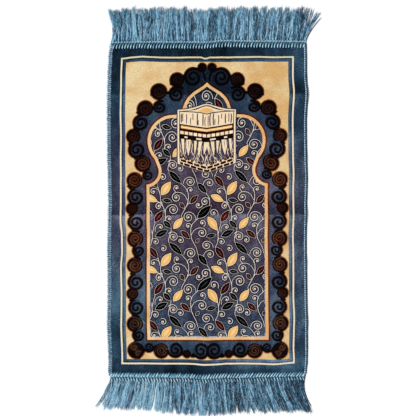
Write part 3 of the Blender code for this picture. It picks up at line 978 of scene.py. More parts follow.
def make_cloth(yarn_finishes, back_finish):
    """The cloth as one closed mesh: the face, the back and the edge between them."""
    flat, sunk, faces, face_yarns, ring = weave_face()
    across, along = waver(flat[:, 0], flat[:, 1])
    half = cloth_half_thickness(across)
    x, y = lay(across, along)
    middle = CLOTH_THICKNESS / 2 + lift(across, along)
    top = np.column_stack([x, y, middle + half - sunk * (half > CLOTH_THICKNESS * 0.4)])
    back, back_faces, under = weave_back(flat[ring])
    x, y = lay(back[:, 0], back[:, 1])
    z = CLOTH_THICKNESS / 2 + lift(back[:, 0], back[:, 1]) - cloth_half_thickness(back[:, 0])
    first = len(top)
    faces += [tuple(first + n for n in reversed(face)) for face in back_faces]
    for n in range(len(ring)):
        m = (n + 1) % len(ring)
        faces.append((ring[m], ring[n], first + under[n], first + under[m]))
    face_yarns += [len(YARNS)] * (len(faces) - len(face_yarns))
    mesh = bpy.data.meshes.new("rug_pile")
    mesh.from_pydata(top.tolist() + np.column_stack([x, y, z]).tolist(), [], faces)
    mesh.update()
    for finish in [*yarn_finishes, back_finish]:
        mesh.materials.append(finish)
    mesh.polygons.foreach_set("material_index", face_yarns)
    spots = np.vstack([np.column_stack([across, along]), back])
    # The pile's painted sheen and shade, and its cooler painted sheen, at each point
    store(mesh, "pile_painted_sheen", pile_painted_sheen(spots[:, 0], spots[:, 1]))
    store(mesh, "pile_painted_cool_sheen", painted_sheen_over_pile(spots[:, 0], spots[:, 1], 4))
    store(mesh, "from_left", np.clip(0.5 + spots[:, 0] / 0.56, 0, 1))
    add_bake_map(mesh, spots, first)
    return shown("rug_pile", mesh)


FACE_MAP = ((0.005, 0.0075), 0.985 / CLOTH_LENGTH)  # its start in the square, its scale
BACK_MAP = ((0.625, 0.05), 0.36 / RUG_WIDTH)
RIM_SHIFT = 0.004


def add_bake_map(mesh, flat, first_back):
    """A map of the flat cloth: the face fills three fifths of the square, and the back the rest."""
    corners = np.zeros(len(mesh.loops), int)
    sizes, slots = np.zeros(len(mesh.polygons), int), np.zeros(len(mesh.polygons), int)
    mesh.loops.foreach_get("vertex_index", corners)
    mesh.polygons.foreach_get("loop_total", sizes)
    mesh.polygons.foreach_get("material_index", slots)
    in_back = np.repeat(slots, sizes) == len(YARNS)
    spots = flat[corners]
    from_corner = spots + (HALF_WIDTH, HALF_LENGTH)
    face, back = (start + from_corner * scale for start, scale in (FACE_MAP, BACK_MAP))
    uv = np.where(in_back[:, None], back, face)
    # The rim's faces would have no width there, so their top corners are moved out a little
    rim_top = in_back & (corners < first_back)
    push = np.sign(spots) * (np.abs(spots) > np.array([SELVEDGE_END, HALF_LENGTH]) - 1e-5)
    uv[rim_top] += push[rim_top] * RIM_SHIFT
    mesh.uv_layers.new(name="OFBake").data.foreach_set("uv", uv.ravel())


# ---------------------------------------------------------------- thread and yarn

def tubes(name, paths, radii, sides, tones, finish, reference=(0, 0, 1)):
    """One mesh of many round threads. paths is threads by points by 3, radii threads by points."""
    threads, points, _ = paths.shape
    tangents = np.gradient(paths, axis=1)
    tangents /= np.linalg.norm(tangents, axis=2, keepdims=True)
    across = np.cross(tangents, np.asarray(reference, float))
    across /= np.linalg.norm(across, axis=2, keepdims=True)
    upward = np.cross(across, tangents)
    turn = (2 * np.pi * np.arange(sides) / sides)[:, None]
    ring = across[:, :, None, :] * np.cos(turn) + upward[:, :, None, :] * np.sin(turn)
    vertices = paths[:, :, None, :] + ring * radii[:, :, None, None]
    index = np.arange(threads * points * sides).reshape(threads, points, sides)
    near, far = index[:, :-1, :], index[:, 1:, :]
    quads = np.stack([near, np.roll(near, -1, 2), np.roll(far, -1, 2), far], axis=-1).reshape(-1, 4)
    ends = index[:, 0, ::-1].tolist() + index[:, -1, :].tolist()
    mesh = bpy.data.meshes.new(name)
    mesh.from_pydata(vertices.reshape(-1, 3).tolist(), [], quads.tolist() + ends)
    mesh.shade_smooth()
    by_point = np.broadcast_to(np.clip(tones, 0, 1), (threads, points))
    store(mesh, "tone", np.repeat(by_point.ravel(), sides))
    mesh.materials.append(finish)
    return shown(name, mesh)


End = namedtuple("End", "way lie partings splits gaps tones")
FAR_END = End(
    way=1,
    lie=(
        # across, how far the yarns lean to the right, their length, their bow to the right
        (-325, -9, 104, 8), (-310, -5, 108, 6), (-280, 0, 109, 0), (-160, 0, 110, 0),
        (0, 2, 108, 0), (150, 6, 110, 0), (260, 10, 108, 0), (300, 15, 106, 0), (314, 20, 103, 0),
        (316, 43, 92, -2), (325, 54, 89, -2),
    ),
    partings=(-209, -150, -50, 62, 128, 197, 232, 282),  # between its locks
    splits=(
        # where the floor shows: across at the root, where along the yarns, half its length, width
        (229, 0.6, 0.32, 1.3), (283, 0.86, 0.16, 1.4), (196, 0.58, 0.26, 1), (-209, 0.95, 0.18, 2),
        (-150, 0.97, 0.14, 1.6),
    ),
    gaps=(
        # the same, where the yarns beneath show, painted dark as shade, and the yarns beside are painted
        # darker as shade
        (-293, 0.62, 0.3, 2.6), (-196, 0.72, 0.2, 2.8), (-181, 0.66, 0.16, 2.2),
        (-143, 0.7, 0.12, 1.6), (-70, 0.55, 0.22, 1.5), (-20, 0.74, 0.2, 1.6), (94, 0.6, 0.24, 1.8),
        (150, 0.76, 0.2, 1.6), (262, 0.7, 0.24, 2), (301, 0.6, 0.3, 2),
    ),
    # across, how much lighter the yarns look
    tones=((-325, 0.02), (-100, 0), (60, 0.06), (160, 0.02), (325, -0.08)),
)
NEAR_END = End(
    way=-1,
    lie=(
        (-325, -42, 81, 0), (-312, -38, 90, 0), (-300, -33, 96, 0), (-270, -27, 93, 0),
        (-230, -22, 95, 0), (-200, -15, 98, 0), (-140, -8, 104, 0), (-80, -3, 110, 0),
        (-20, 0, 110, 0), (60, 10, 107, 0), (120, 27, 105, 0), (200, 40, 106, 0),
        (262, 42, 107, -1), (296, 33, 107, -4), (325, 24, 106, -8),
    ),
    partings=(-250, -170, -25, 85, 125, 212),
    splits=(
        (-205, 0.42, 0.26, 1.6), (-170, 0.5, 0.42, 1.9), (-252, 0.9, 0.2, 2), (124, 0.95, 0.14, 1),
    ),
    gaps=(
        (-286, 0.4, 0.25, 1.8), (-238, 0.55, 0.25, 1.8), (-105, 0.7, 0.25, 2),
        (-55, 0.6, 0.25, 1.8), (45, 0.72, 0.24, 2.2), (78, 0.7, 0.24, 2.2), (100, 0.62, 0.34, 3),
        (140, 0.72, 0.24, 2.8), (165, 0.56, 0.22, 2), (184, 0.76, 0.22, 3), (222, 0.6, 0.38, 3),
        (256, 0.5, 0.44, 2.8), (288, 0.6, 0.32, 2),
    ),
    tones=((-325, 0.28), (-200, 0.36), (-100, 0.04), (50, -0.04), (200, -0.36), (325, -0.5)),
)
LOCK_BEND = 1.3
GATHER = 0.06
STITCH_PITCH = 0.0095
STRANDS_PER_STITCH = 2
YARNS_PER_STRAND = 13
YARN_RADIUS = 0.00050
STRAND_HALF = 0.0017
YARN_STEPS = np.array([-0.055, -0.01, 0.04, 0.11, 0.21, 0.32, 0.44, 0.56, 0.68, 0.79, 0.9, 1.0])
YARN_RISE = np.array([0.5, 0.5, 0.9, 1.1, 1.2, 1.2, 1.15, 1.1, 1.0, 0.9, 0.7, 0.45])
YARN_THIN = np.array([0.8, 0.8, 0.9, 1.0, 1.0, 1.0, 1.0, 1.0, 1.0, 0.95, 0.8, 0.4])
HIDDEN_REACH = 0.105  # the first steps run back under the stitches by their share of this
UNDER_YARNS, UNDER_RADIUS, UNDER_HEIGHT = 330, 0.00095, 0.0010
LOOSE_YARNS, LOOSE_RADIUS = 520, 0.00055
# How much lean, length and tone vary: from tuft to tuft, from strand to strand, yarn to yarn
TUFT_LEAN, TUFT_LENGTH, TUFT_TONE = 0.0034, 0.0024, 0.13
STRAND_LEAN, STRAND_LENGTH, STRAND_TONE = 0.0050, 0.0018, 0.31
YARN_LEAN, YARN_LENGTH, YARN_TONE = 0.0020, 0.0036, 0.30
TUFT_REACH = 0.33
PINCH, PINCH_LENGTH = 0.72, 0.10  # strands leave a stitch close together, over this share
STRAND_WAVE, YARN_WAVE = 0.0022, 0.0008
SPLIT_REACH = 0.006
# How dark the painted shade beside a gap is, and how far it spreads, as a share of the gap's width
GAP_DARKNESS, GAP_SPREAD = 1.3, 1.7
YARN_SIDES = 3


def gathered(root, partings):
    """How far the yarns of each lock, from parting to parting, lean to its middle."""
    edges = np.array([-HALF_WIDTH, *(MM * place for place in partings), HALF_WIDTH])
    group = np.clip(np.searchsorted(edges, root) - 1, 0, len(edges) - 2)
    return GATHER * ((edges[group] + edges[group + 1]) / 2 - root)


def split_apart(root, out, splits):
    """How far yarns are pushed aside at the places where the floor shows between them."""
    push = 0
    for place, middle, half, width in splits:
        aside = root[:, None] - place * MM
        spread = np.sign(aside) * width * MM * np.exp(-np.abs(aside) / SPLIT_REACH)
        push = push + spread * hump(out - middle, half)
    return push


def gap_shade(root, out, gaps):
    """How much painted shade yarns get from the dark gaps beside them, from 0 to 1 a gap."""
    shade = 0
    for place, middle, half, width in gaps:
        aside = (root[:, None] - place * MM) / (GAP_SPREAD * width * MM)
        shade = shade + np.exp(-(aside ** 2)) * hump(out - middle, half)
    return shade


def yarn_places(root, end, splits, sideways, length, wander, share=YARN_STEPS[None, :]):
    """Where yarns run on the floor, from the stitches outwards. sideways and wander are added
    to the fringe's own lean, as a share of the way out and directly."""
    out = np.clip(share, 0, 1)
    place = (
        root[:, None]
        + (straight(end.lie, root, 1) + sideways)[:, None] * out ** LOCK_BEND
        + straight(end.lie, root, 3)[:, None] * 4 * out * (1 - out)
        + gathered(root, end.partings)[:, None] * out
        + split_apart(root, out, splits)
        + wander
    )
    outward = TAPE_WIDTH + share * np.where(share < 0, HIDDEN_REACH, length[:, None])
    return lay(place, end.way * (HALF_LENGTH + CLEARANCE + outward))


def tufted(draw, root, tufts, spread):
    """A value that differs from tuft to tuft."""
    return np.interp(root, np.linspace(-TUFT_REACH, TUFT_REACH, tufts), draw.normal(0, spread, tufts))


def strand_yarns(draw, end):
    """Strands of yarn leave each stitch, wander, cross and part, and spread towards the tips."""
    stitches = int(2 * HALF_WIDTH / STITCH_PITCH)
    strands = stitches * STRANDS_PER_STITCH
    stitch = np.repeat(np.arange(stitches), STRANDS_PER_STITCH)
    places = np.arange(STRANDS_PER_STITCH) - (STRANDS_PER_STITCH - 1) / 2
    within = np.tile(places, stitches) * STITCH_PITCH / STRANDS_PER_STITCH
    root = (stitch + 0.5) * STITCH_PITCH - stitches * STITCH_PITCH / 2 + within
    out = np.clip(YARN_STEPS, 0, 1)[None, :]
    # What each strand does
    tuft_lean = tufted(draw, root, 34, TUFT_LEAN)
    tuft_length = tufted(draw, root, 50, TUFT_LENGTH)
    tuft_tone = tufted(draw, root, 56, TUFT_TONE)
    lean = tuft_lean + draw.normal(0, STRAND_LEAN, strands)
    reach = straight(end.lie, root, 2) + tuft_length + draw.normal(0, STRAND_LENGTH, strands)
    size, turns = draw.normal(0, STRAND_WAVE, strands), draw.uniform(4.0, 12.0, strands)
    phase = draw.uniform(0, 2 * np.pi, strands)
    waves = size[:, None] * (np.sin(turns[:, None] * out + phase[:, None]) - np.sin(phase)[:, None])
    waves -= (within * PINCH)[:, None] * np.exp(-((YARN_STEPS / PINCH_LENGTH) ** 2))
    level = draw.uniform(0.0009, 0.0038, strands)
    tone = draw.normal(0.50, STRAND_TONE, strands) + tuft_tone + straight(end.tones, root, 1, 1)
    mottled = draw.normal(0, 0.17, (strands, len(YARN_STEPS)))
    # What its yarns add
    count = strands * YARNS_PER_STRAND
    of = np.repeat(np.arange(strands), YARNS_PER_STRAND)
    offset = draw.uniform(-1, 1, count)
    own = offset[:, None] * STRAND_HALF * (0.9 + 1.9 * out ** 2.5)
    twist, phase = (draw.uniform(*limits, count)[:, None] for limits in ((6, 18), (0, 2 * np.pi)))
    own = own + YARN_WAVE * np.sin(twist * out + phase) * np.minimum(out * 4, 1)
    length = reach[of] + draw.normal(0, YARN_LENGTH, count)
    leans = lean[of] + draw.normal(0, YARN_LEAN, count)
    x, y = yarn_places(root[of], end, end.splits + end.gaps, leans, length, waves[of] + own)
    crown = np.sqrt(1 - 0.9 * offset ** 2)
    height = (level[of] * (0.35 + 0.65 * crown) + 0.0004)[:, None] * YARN_RISE
    height = height + 0.0005 * np.sin(twist * out * 1.3 + phase * 2)
    height = np.maximum(height, YARN_RADIUS * 1.1)
    radii = YARN_RADIUS * YARN_THIN * draw.uniform(0.85, 1.2, count)[:, None]
    # Yarns on a strand's crown are painted lighter and those at its sides darker: painted light and shade
    tones = tone[of] + 0.30 * (crown - 0.75) + draw.normal(0, YARN_TONE, count)
    # Painted shade beside the dark gaps
    tones = tones[:, None] + mottled[of] - GAP_DARKNESS * gap_shade(root[of], out, end.gaps)
    return np.stack([x, y, height], -1), radii, tones


def under_yarns(draw, end):
    """Straighter yarns on the floor beneath, painted dark as the strands' shade."""
    root = np.linspace(-HALF_WIDTH + 0.0015, HALF_WIDTH - 0.0015, UNDER_YARNS)
    length = straight(end.lie, root, 2) - draw.uniform(0.004, 0.016, UNDER_YARNS)
    x, y = yarn_places(root, end, end.splits, 0, length, 0)
    # Their dark tone is painted shade
    tones = draw.uniform(0.0, 0.12, UNDER_YARNS)[:, None] + 0 * x
    return np.stack([x, y, UNDER_HEIGHT + 0 * x], -1), UNDER_RADIUS * YARN_THIN + 0 * x, tones


def loose_yarns(draw, end):
    """A few yarns that have worked loose and lie across the others."""
    root = draw.uniform(-HALF_WIDTH + 0.002, HALF_WIDTH - 0.002, LOOSE_YARNS)
    start = draw.uniform(0, 0.75, LOOSE_YARNS) ** 1.2
    stop = np.minimum(start + draw.uniform(0.22, 0.5, LOOSE_YARNS), draw.uniform(0.98, 1.05, LOOSE_YARNS))
    t = np.linspace(0, 1, len(YARN_STEPS))[None, :]
    share = start[:, None] + (stop - start)[:, None] * t
    swerve = draw.normal(0, 0.0075, LOOSE_YARNS)[:, None] * (t - 0.5)
    swerve = swerve + draw.normal(0, 0.0016, LOOSE_YARNS)[:, None] * np.sin(np.pi * t * 1.5)
    x, y = yarn_places(root, end, end.splits, 0, straight(end.lie, root, 2), swerve, share)
    crest = draw.uniform(0.0026, 0.0044, LOOSE_YARNS)[:, None]
    height = crest * (0.35 + 0.65 * np.sin(np.pi * (0.1 + 0.8 * t)))
    tones = draw.normal(0.66, 0.30, LOOSE_YARNS) + straight(end.tones, root, 1, 1)
    return np.stack([x, y, height], -1), LOOSE_RADIUS * YARN_THIN + 0 * x, tones[:, None] + 0 * x


def make_fringe(name, end, finish, seed):
    """All the yarns of one end."""
    draw = np.random.default_rng(seed)
    kinds = [kind(draw, end) for kind in (strand_yarns, under_yarns, loose_yarns)]
    paths, radii, tones = (np.concatenate(values) for values in zip(*kinds))
    return tubes(name, paths, radii, YARN_SIDES, tones, finish)


Row = namedtuple("Row", "inner outer slant suddenly radius inner_tone outer_tone place above fall dark")
FAR_ROWS = (
    # Rows of slanted stitches over each end: inner and outer end, outwards from the cloth's edge;
    # how far they slant; how suddenly; radius; tone at the inner and outer end; place as a share of
    # the pitch; height above the cloth; how much darker towards the right; whether dark
    (-12.6, 4.4, 6.2, 2.4, 1.68, 1.05, 0.12, 0, 0, 0, False),
)
NEAR_ROWS = (
    (-15.8, 0.2, 9.2, 1, 1.85, 0.45, 1.05, 0, 0, 0, False),
    (-13, 0.2, 8.4, 1, 1.7, 0.15, 0.42, 0.5, -0.6, 0.35, False),
    (0.2, 3, -4, 1, 1.4, 0.1, 0.1, 0.5, 2.2, 0, True),
    (0.4, 11.2, -5, 1, 1.4, 0.7, 0.85, 0.05, 1.8, 0.15, False),
)
FAR_ZIGZAGS = (
    # Threads in a zigzag beside them: middle, outwards from the cloth's edge; swing; lean; height;
    # radius; tone; whether dark
    (7.4, 2.2, -1.6, 5.2, 1, 0.85, False), (2.2, 1, 0, 1.6, 1.6, 0.1, True),
)
STITCH_PROFILE = np.array([0.45, 0.85, 1.1, 1.15, 1.05, 0.9, 0.7])
STITCH_CREST, STITCH_SUNK = 0.0012, 0.0002
STITCH_JITTER, REACH_JITTER = 0.0004, 0.0006
STITCH_MARGIN, ZIGZAG_MARGIN = 0.001, 0.003
THREAD_SIDES = 6


def make_end_stitches(name, way, rows, zigzags, finishes, seed):
    """The stitches that hold a fringe to the cloth, and the chain beside them."""
    draw = np.random.default_rng(seed)
    count = int(RUG_WIDTH / STITCH_PITCH)
    share = np.linspace(0, 1, len(STITCH_PROFILE))[None, :]
    made = []
    for number, row in enumerate(Row(*row) for row in rows):
        middles = -HALF_WIDTH + STITCH_PITCH * (np.arange(count) + 0.5 + row.place)
        middles = (middles + draw.normal(0, STITCH_JITTER, count))[:, None]
        reach = HALF_LENGTH + MM * (row.inner + (row.outer - row.inner) * share)
        reach = reach + draw.normal(0, REACH_JITTER, count)[:, None]
        across = middles + way * row.slant * MM * (share ** row.suddenly - 0.5)
        across = np.clip(across, -HALF_WIDTH + STITCH_MARGIN, HALF_WIDTH - STITCH_MARGIN)
        surface = CLOTH_THICKNESS + lift(across, way * reach) - STITCH_SUNK + row.above * MM
        height = surface + STITCH_CREST * np.sin(np.pi * share) ** 0.6
        x, y = lay(across, way * reach)
        radii = STITCH_PROFILE * row.radius * MM + 0 * x
        tones = draw.normal(0, 0.12, count)[:, None] + row.inner_tone
        tones = tones + (row.outer_tone - row.inner_tone) * share ** 1.4 - row.fall * middles / HALF_WIDTH
        stitches, label = np.stack([x, y, height], axis=-1), name + "_" + str(number)
        made.append(tubes(label, stitches, radii, THREAD_SIDES, tones, finishes[row.dark]))
    line = np.linspace(-HALF_WIDTH + ZIGZAG_MARGIN, HALF_WIDTH - ZIGZAG_MARGIN, count * 10)
    turn = line * 2 * np.pi / STITCH_PITCH
    for number, (middle, swing, lean, height, radius, bright, dark) in enumerate(zigzags):
        outward = HALF_LENGTH + MM * (middle + swing * np.cos(turn))
        x, y = lay(line + lean * MM * np.cos(turn), way * outward)
        strand = np.stack([x, y, height * MM + 0.0006 * np.cos(turn * 2)], axis=-1)[None]
        tints = (bright + 0.35 * np.cos(turn + 0.7))[None, :]
        radii, label = np.full((1, len(line)), radius * MM), name + "_zigzag_" + str(number)
        made.append(tubes(label, strand, radii, THREAD_SIDES, tints, finishes[dark]))
    return made


# The loops over each side: how far their edge lies outside the cloth's, their reach inwards, how
# ragged they are and their radius, in mm; their tone, its spread, its step from one thread to the
# other, and how it changes along a loop
Overlock = namedtuple("Overlock", "side edge reach ragged radius tone spread step along_loop")
LEFT_OVERLOCK = Overlock(
    side=-1, edge=1.2, reach=11.2, ragged=1.8, radius=1.10, tone=0.70, spread=0.14, step=0.26,
    along_loop=(0.20, 0.12, -0.26, -0.10, 0.16, 0.16, 0.0),
)
# The right side's loops are painted dark, as shade on the side away from the lamp
RIGHT_OVERLOCK = Overlock(
    side=1, edge=-2.6, reach=6.2, ragged=0.6, radius=0.90, tone=0.12, spread=0.10, step=0.16,
    along_loop=(0,) * 7,
)
LOOP_PITCH = 0.0034
LOOP_SECTION = (
    # share of the reach inwards from the edge, share of the cloth's thickness and mm above that,
    # share of the pitch forward
    (1.0, 1.0, -0.2, 0.0),
    (0.75, 1.0, 0.8, 0.25),
    (0.42, 1.0, 0.8, 0.5),
    (0.16, 1.0, 0.3, 0.8),
    (-0.02, 0.8, 0.0, 1.0),
    (-0.07, 0.45, 0.0, 1.1),
    (0.04, 0.0, 0.6, 1.2),
)
LOOP_SIDES = 5
LOOP_JITTER, LOOP_REACH_JITTER = 0.0004, 0.0005
CHAIN_STEP, CHAIN_PITCH, CHAIN_INWARDS, CHAIN_HEIGHT = 0.0009, 0.0072, 0.0082, 0.0014
CHAIN_RADIUS, CHAIN_SWELL = 0.00155, 0.00060


def make_overlock(name, form, finish, seed):
    """Thread wrapped round one side of the cloth, loop after loop."""
    draw = np.random.default_rng(seed)
    count = int(CLOTH_LENGTH / LOOP_PITCH)
    starts = -HALF_LENGTH + LOOP_PITCH * (np.arange(count) + 0.5) + draw.normal(0, LOOP_JITTER, count)
    reach = form.reach * MM + draw.normal(0, LOOP_REACH_JITTER, count)
    inward, share, above, forward = np.array(LOOP_SECTION).T[:, None, :]
    ragged = draw.uniform(0, form.ragged * MM, count)[:, None]
    across = HALF_WIDTH + form.edge * MM - inward * reach[:, None] + ragged * (inward < 0.2)
    along = starts[:, None] + LOOP_PITCH * forward * draw.uniform(0.7, 1.3, count)[:, None]
    across = form.side * across
    x, y = lay(across, along)
    height = CLOTH_THICKNESS * share + above * MM + lift(across, along)
    radii = form.radius * MM * draw.uniform(0.8, 1.15, count)[:, None] + 0 * x
    # Two threads take turns, one lighter than the other
    tones = form.tone + draw.normal(0, form.spread, count) + form.step * (-1.0) ** np.arange(count)
    tones = tones[:, None] + np.array(form.along_loop)
    return tubes(name, np.stack([x, y, height], axis=-1), radii, LOOP_SIDES, tones, finish, (0, 1, 0))


def make_chain(name, side, finish):
    """The chain of thread on the face, beside the loops."""
    line = np.linspace(-HALF_LENGTH, HALF_LENGTH, int(CLOTH_LENGTH / CHAIN_STEP))
    turn = line * 2 * np.pi / CHAIN_PITCH
    across = side * (HALF_WIDTH - CHAIN_INWARDS + 0.0004 * np.sin(turn))
    x, y = lay(across, line)
    z = CLOTH_THICKNESS + CHAIN_HEIGHT + 0.0005 * np.cos(turn) + lift(across, line)
    radii = (CHAIN_RADIUS + CHAIN_SWELL * np.cos(turn))[None, :]
    uneven = 0.10 * np.sin(line * 41) + 0.08 * np.sin(line * 97)
    # Painted light on each bead's crest and painted shade between the beads, on top of uneven tone
    tints = (0.74 + 0.30 * np.cos(turn) + uneven)[None, :]
    return tubes(name, np.stack([x, y, z], axis=-1)[None], radii, LOOP_SIDES, tints, finish)


# ---------------------------------------------------------------- finishes

def linear(code):
    """An sRGB hex colour as linear red, green, blue and alpha."""
    parts = [int(code[n:n + 2], 16) / 255 for n in (1, 3, 5)]
    return (*[c / 12.92 if c <= 0.04045 else ((c + 0.055) / 1.055) ** 2.4 for c in parts], 1.0)


def fill(tree, node, inputs):
    """Sets a node's inputs, by name or number, or links them to the outputs of other nodes."""
    for key, value in inputs.items():
        if isinstance(value, bpy.types.NodeSocket):
            tree.links.new(value, node.inputs[key])
        else:
            node.inputs[key].default_value = value


def add(tree, kind, output, inputs=None, settings=None, colours=()):
    """Adds a node with its inputs, settings and evenly spaced colours. Returns one output."""
    node = tree.nodes.new(kind)
    for key, value in (settings or {}).items():
        setattr(node, key, value)
    for n, colour in enumerate(colours):
        stops, place = node.color_ramp.elements, n / (len(colours) - 1)
        stop = stops[n] if n < len(stops) else stops.new(place)
        stop.position = place
        stop.color = linear(colour)
    fill(tree, node, inputs or {})
    return node.outputs[output]


def new_finish(name):
    finish = bpy.data.materials.new(name)
    finish.use_nodes = True
    tree = finish.node_tree
    return finish, tree, tree.nodes["Principled BSDF"]


# Settings: a Math node that gives its first input times its second plus its third, and the same
# kept from 0 to 1; a Mix node that blends two colours, and one that tints the first by the second
SUM = {"operation": "MULTIPLY_ADD"}
LAST_SUM = {"operation": "MULTIPLY_ADD", "use_clamp": True}
BLEND = {"data_type": "RGBA"}
TINTED = {"data_type": "RGBA", "blend_type": "MULTIPLY"}

# The grain of the finishes, as the size of its spots. Tufts, ribs, threads and fibres are about
# 1 mm wide or less on the rug and are drawn coarser, at the finest that shows.
TUFT_SIZE, PATCH_SIZE = 3.4 * MM, 40 * MM
RIB_SIZE, THREAD_SIZE, CLOUD_SIZE = 3.0 * MM, 3.6 * MM, 60 * MM
FIBRE_SIZE, FLECK_SIZE = 2.6 * MM, 6.0 * MM
WAVE_PERIOD = 0.31  # how far apart a wave node's ribs lie at scale 1


def cut_pile(name, warm, cool):
    """Polyester velvet, woven face to face and cut: soft, with no gloss. Its colour carries painted
    shade where the pile leans away from the light, painted sheen where it catches it, and a cooler
    painted sheen over parts of the rug."""
    finish, tree, shader = new_finish(name)
    spot = add(tree, "ShaderNodeTexCoord", "Object")
    brushed = add(tree, "ShaderNodeMapping", 0, {"Vector": spot, "Scale": (1.0, 0.5, 1.0)})
    tufts = add(tree, "ShaderNodeTexNoise", 0, {"Vector": spot, "Scale": 1 / TUFT_SIZE, "Detail": 2.0})
    patches = add(tree, "ShaderNodeTexNoise", 0, {
        "Vector": brushed,
        "Scale": 1 / PATCH_SIZE,
        "Detail": 4.0,
        "Roughness": 0.62,
    })
    # Painted sheen and shade of the pile, and its cooler painted sheen
    lie = add(tree, "ShaderNodeAttribute", "Fac", None, {"attribute_name": "pile_painted_sheen"})
    painted_cool = add(tree, "ShaderNodeAttribute", "Fac", None, {"attribute_name": "pile_painted_cool_sheen"})
    level = add(tree, "ShaderNodeMath", 0, {0: tufts, 1: 1.2, 2: -0.60}, SUM)
    level = add(tree, "ShaderNodeMath", 0, {0: patches, 1: 1.0, 2: level}, SUM)
    level = add(tree, "ShaderNodeMath", 0, {0: lie, 1: 0.5, 2: level}, LAST_SUM)
    warmer, cooler = (
        add(tree, "ShaderNodeValToRGB", "Color", {0: level}, None, colours) for colours in (warm, cool)
    )
    relief = add(tree, "ShaderNodeBump", 0, {"Strength": 0.5, "Distance": 0.0012, "Height": tufts})
    fill(tree, shader, {
        "Base Color": add(tree, "ShaderNodeMix", 2, {0: painted_cool, 6: warmer, 7: cooler}, BLEND),
        "Normal": relief,
        "Roughness": 0.95,
        "Sheen Weight": 0.12,
        "Sheen Roughness": 0.4,
        "Sheen Tint": linear(warm[2]),
        "Specular IOR Level": 0.02,
    })
    return finish


def flat_weave(name, dark, light, aged=0.0, rough=0.62):
    """Viscose weft in a plain rib, painted a little lighter along the ribs as their sheen and darker
    between the threads as shade. Where it has aged it looks warmer and deeper in soft clouds, and
    it is also warmer and deeper towards the right."""
    finish, tree, shader = new_finish(name)
    spot = add(tree, "ShaderNodeTexCoord", "Object")
    ribs = add(tree, "ShaderNodeTexWave", "Fac", {
        "Vector": spot,
        "Scale": WAVE_PERIOD / (2 * RIB_SIZE),
        "Distortion": 6.0,
        "Detail": 2.0,
        "Detail Scale": 3.0,
    }, {"bands_direction": "Y", "wave_type": "BANDS"})
    threads = add(tree, "ShaderNodeTexNoise", 0, {"Vector": spot, "Scale": 1 / THREAD_SIZE, "Detail": 3.0})
    clouds = add(tree, "ShaderNodeTexNoise", 0, {"Vector": spot, "Scale": 1 / CLOUD_SIZE, "Detail": 3.0})
    from_left = add(tree, "ShaderNodeAttribute", "Fac", None, {"attribute_name": "from_left"})
    # Painted sheen along the ribs and painted shade between the threads, with clouds of tone
    level = add(tree, "ShaderNodeMath", 0, {0: ribs, 1: 0.14, 2: -0.40}, SUM)
    level = add(tree, "ShaderNodeMath", 0, {0: threads, 1: 1.2, 2: level}, SUM)
    level = add(tree, "ShaderNodeMath", 0, {0: clouds, 1: 0.5, 2: level}, LAST_SUM)
    warmth = add(tree, "ShaderNodeMath", 0, {0: clouds, 1: 3.4, 2: -1.50}, SUM)
    warmth = add(tree, "ShaderNodeMath", 0, {0: from_left, 1: 0.6, 2: warmth}, LAST_SUM)
    warmth = add(tree, "ShaderNodeMath", 0, {0: warmth, 1: aged, 2: 0.0}, SUM)
    weft = add(tree, "ShaderNodeMix", 2, {0: level, 6: linear(dark), 7: linear(light)}, BLEND)
    tint = add(tree, "ShaderNodeMix", 2, {0: warmth, 6: linear("#ffffff"), 7: linear(AGED)}, BLEND)
    relief = add(tree, "ShaderNodeBump", 0, {"Strength": 0.35, "Distance": 0.0006, "Height": threads})
    fill(tree, shader, {
        "Base Color": add(tree, "ShaderNodeMix", 2, {0: 1.0, 6: weft, 7: tint}, TINTED),
        "Normal": relief,
        "Roughness": rough,
        "Specular IOR Level": 0.3,
    })
    return finish


def spun_yarn(name, dark, body, light):
    """Spun viscose and polyester: soft fibres with a slight lustre, lighter and darker yarn by
    yarn, and from place to place along each."""
    finish, tree, shader = new_finish(name)
    spot = add(tree, "ShaderNodeTexCoord", "Object")
    drawn = add(tree, "ShaderNodeMapping", 0, {"Vector": spot, "Scale": (1.0, 0.28, 1.0)})
    fibres = add(tree, "ShaderNodeTexNoise", 0, {"Vector": drawn, "Scale": 1 / FIBRE_SIZE, "Detail": 2.0})
    flecks = add(tree, "ShaderNodeTexNoise", 0, {"Vector": spot, "Scale": 1 / FLECK_SIZE, "Detail": 1.0})
    tone = add(tree, "ShaderNodeAttribute", "Fac", None, {"attribute_name": "tone"})
    level = add(tree, "ShaderNodeMath", 0, {0: fibres, 1: 1.3, 2: -0.90}, SUM)
    level = add(tree, "ShaderNodeMath", 0, {0: flecks, 1: 0.5, 2: level}, SUM)
    level = add(tree, "ShaderNodeMath", 0, {0: tone, 1: 1.0, 2: level}, LAST_SUM)
    relief = add(tree, "ShaderNodeBump", 0, {"Strength": 0.4, "Distance": 0.0003, "Height": fibres})
    fill(tree, shader, {
        "Base Color": add(tree, "ShaderNodeValToRGB", "Color", {0: level}, None, (dark, body, light)),
        "Normal": relief,
        "Roughness": 0.6,
        "Sheen Weight": 0.15,
        "Sheen Roughness": 0.5,
        "Specular IOR Level": 0.3,
    })
    return finish


def yarn_finishes():
    """A finish for each yarn of the pattern, in the order of YARNS."""
    pile = [cut_pile("velvet_pile_" + yarn, *colours) for yarn, colours in PILE_COLOURS.items()]
    return pile + [flat_weave("viscose_weft_" + yarn, *row) for yarn, row in WEAVE_COLOURS.items()]


# ---------------------------------------------------------------- stage, light and camera

FLOOR_SIZE, FLOOR_HEIGHT = 8, -0.0003
STUDIO_STRENGTH = 0.52
LAMP_STRENGTH, LAMP_WAY = 2.17, (0.65, 0.22, -1.0)
LAMP_SPREAD = 16  # in degrees


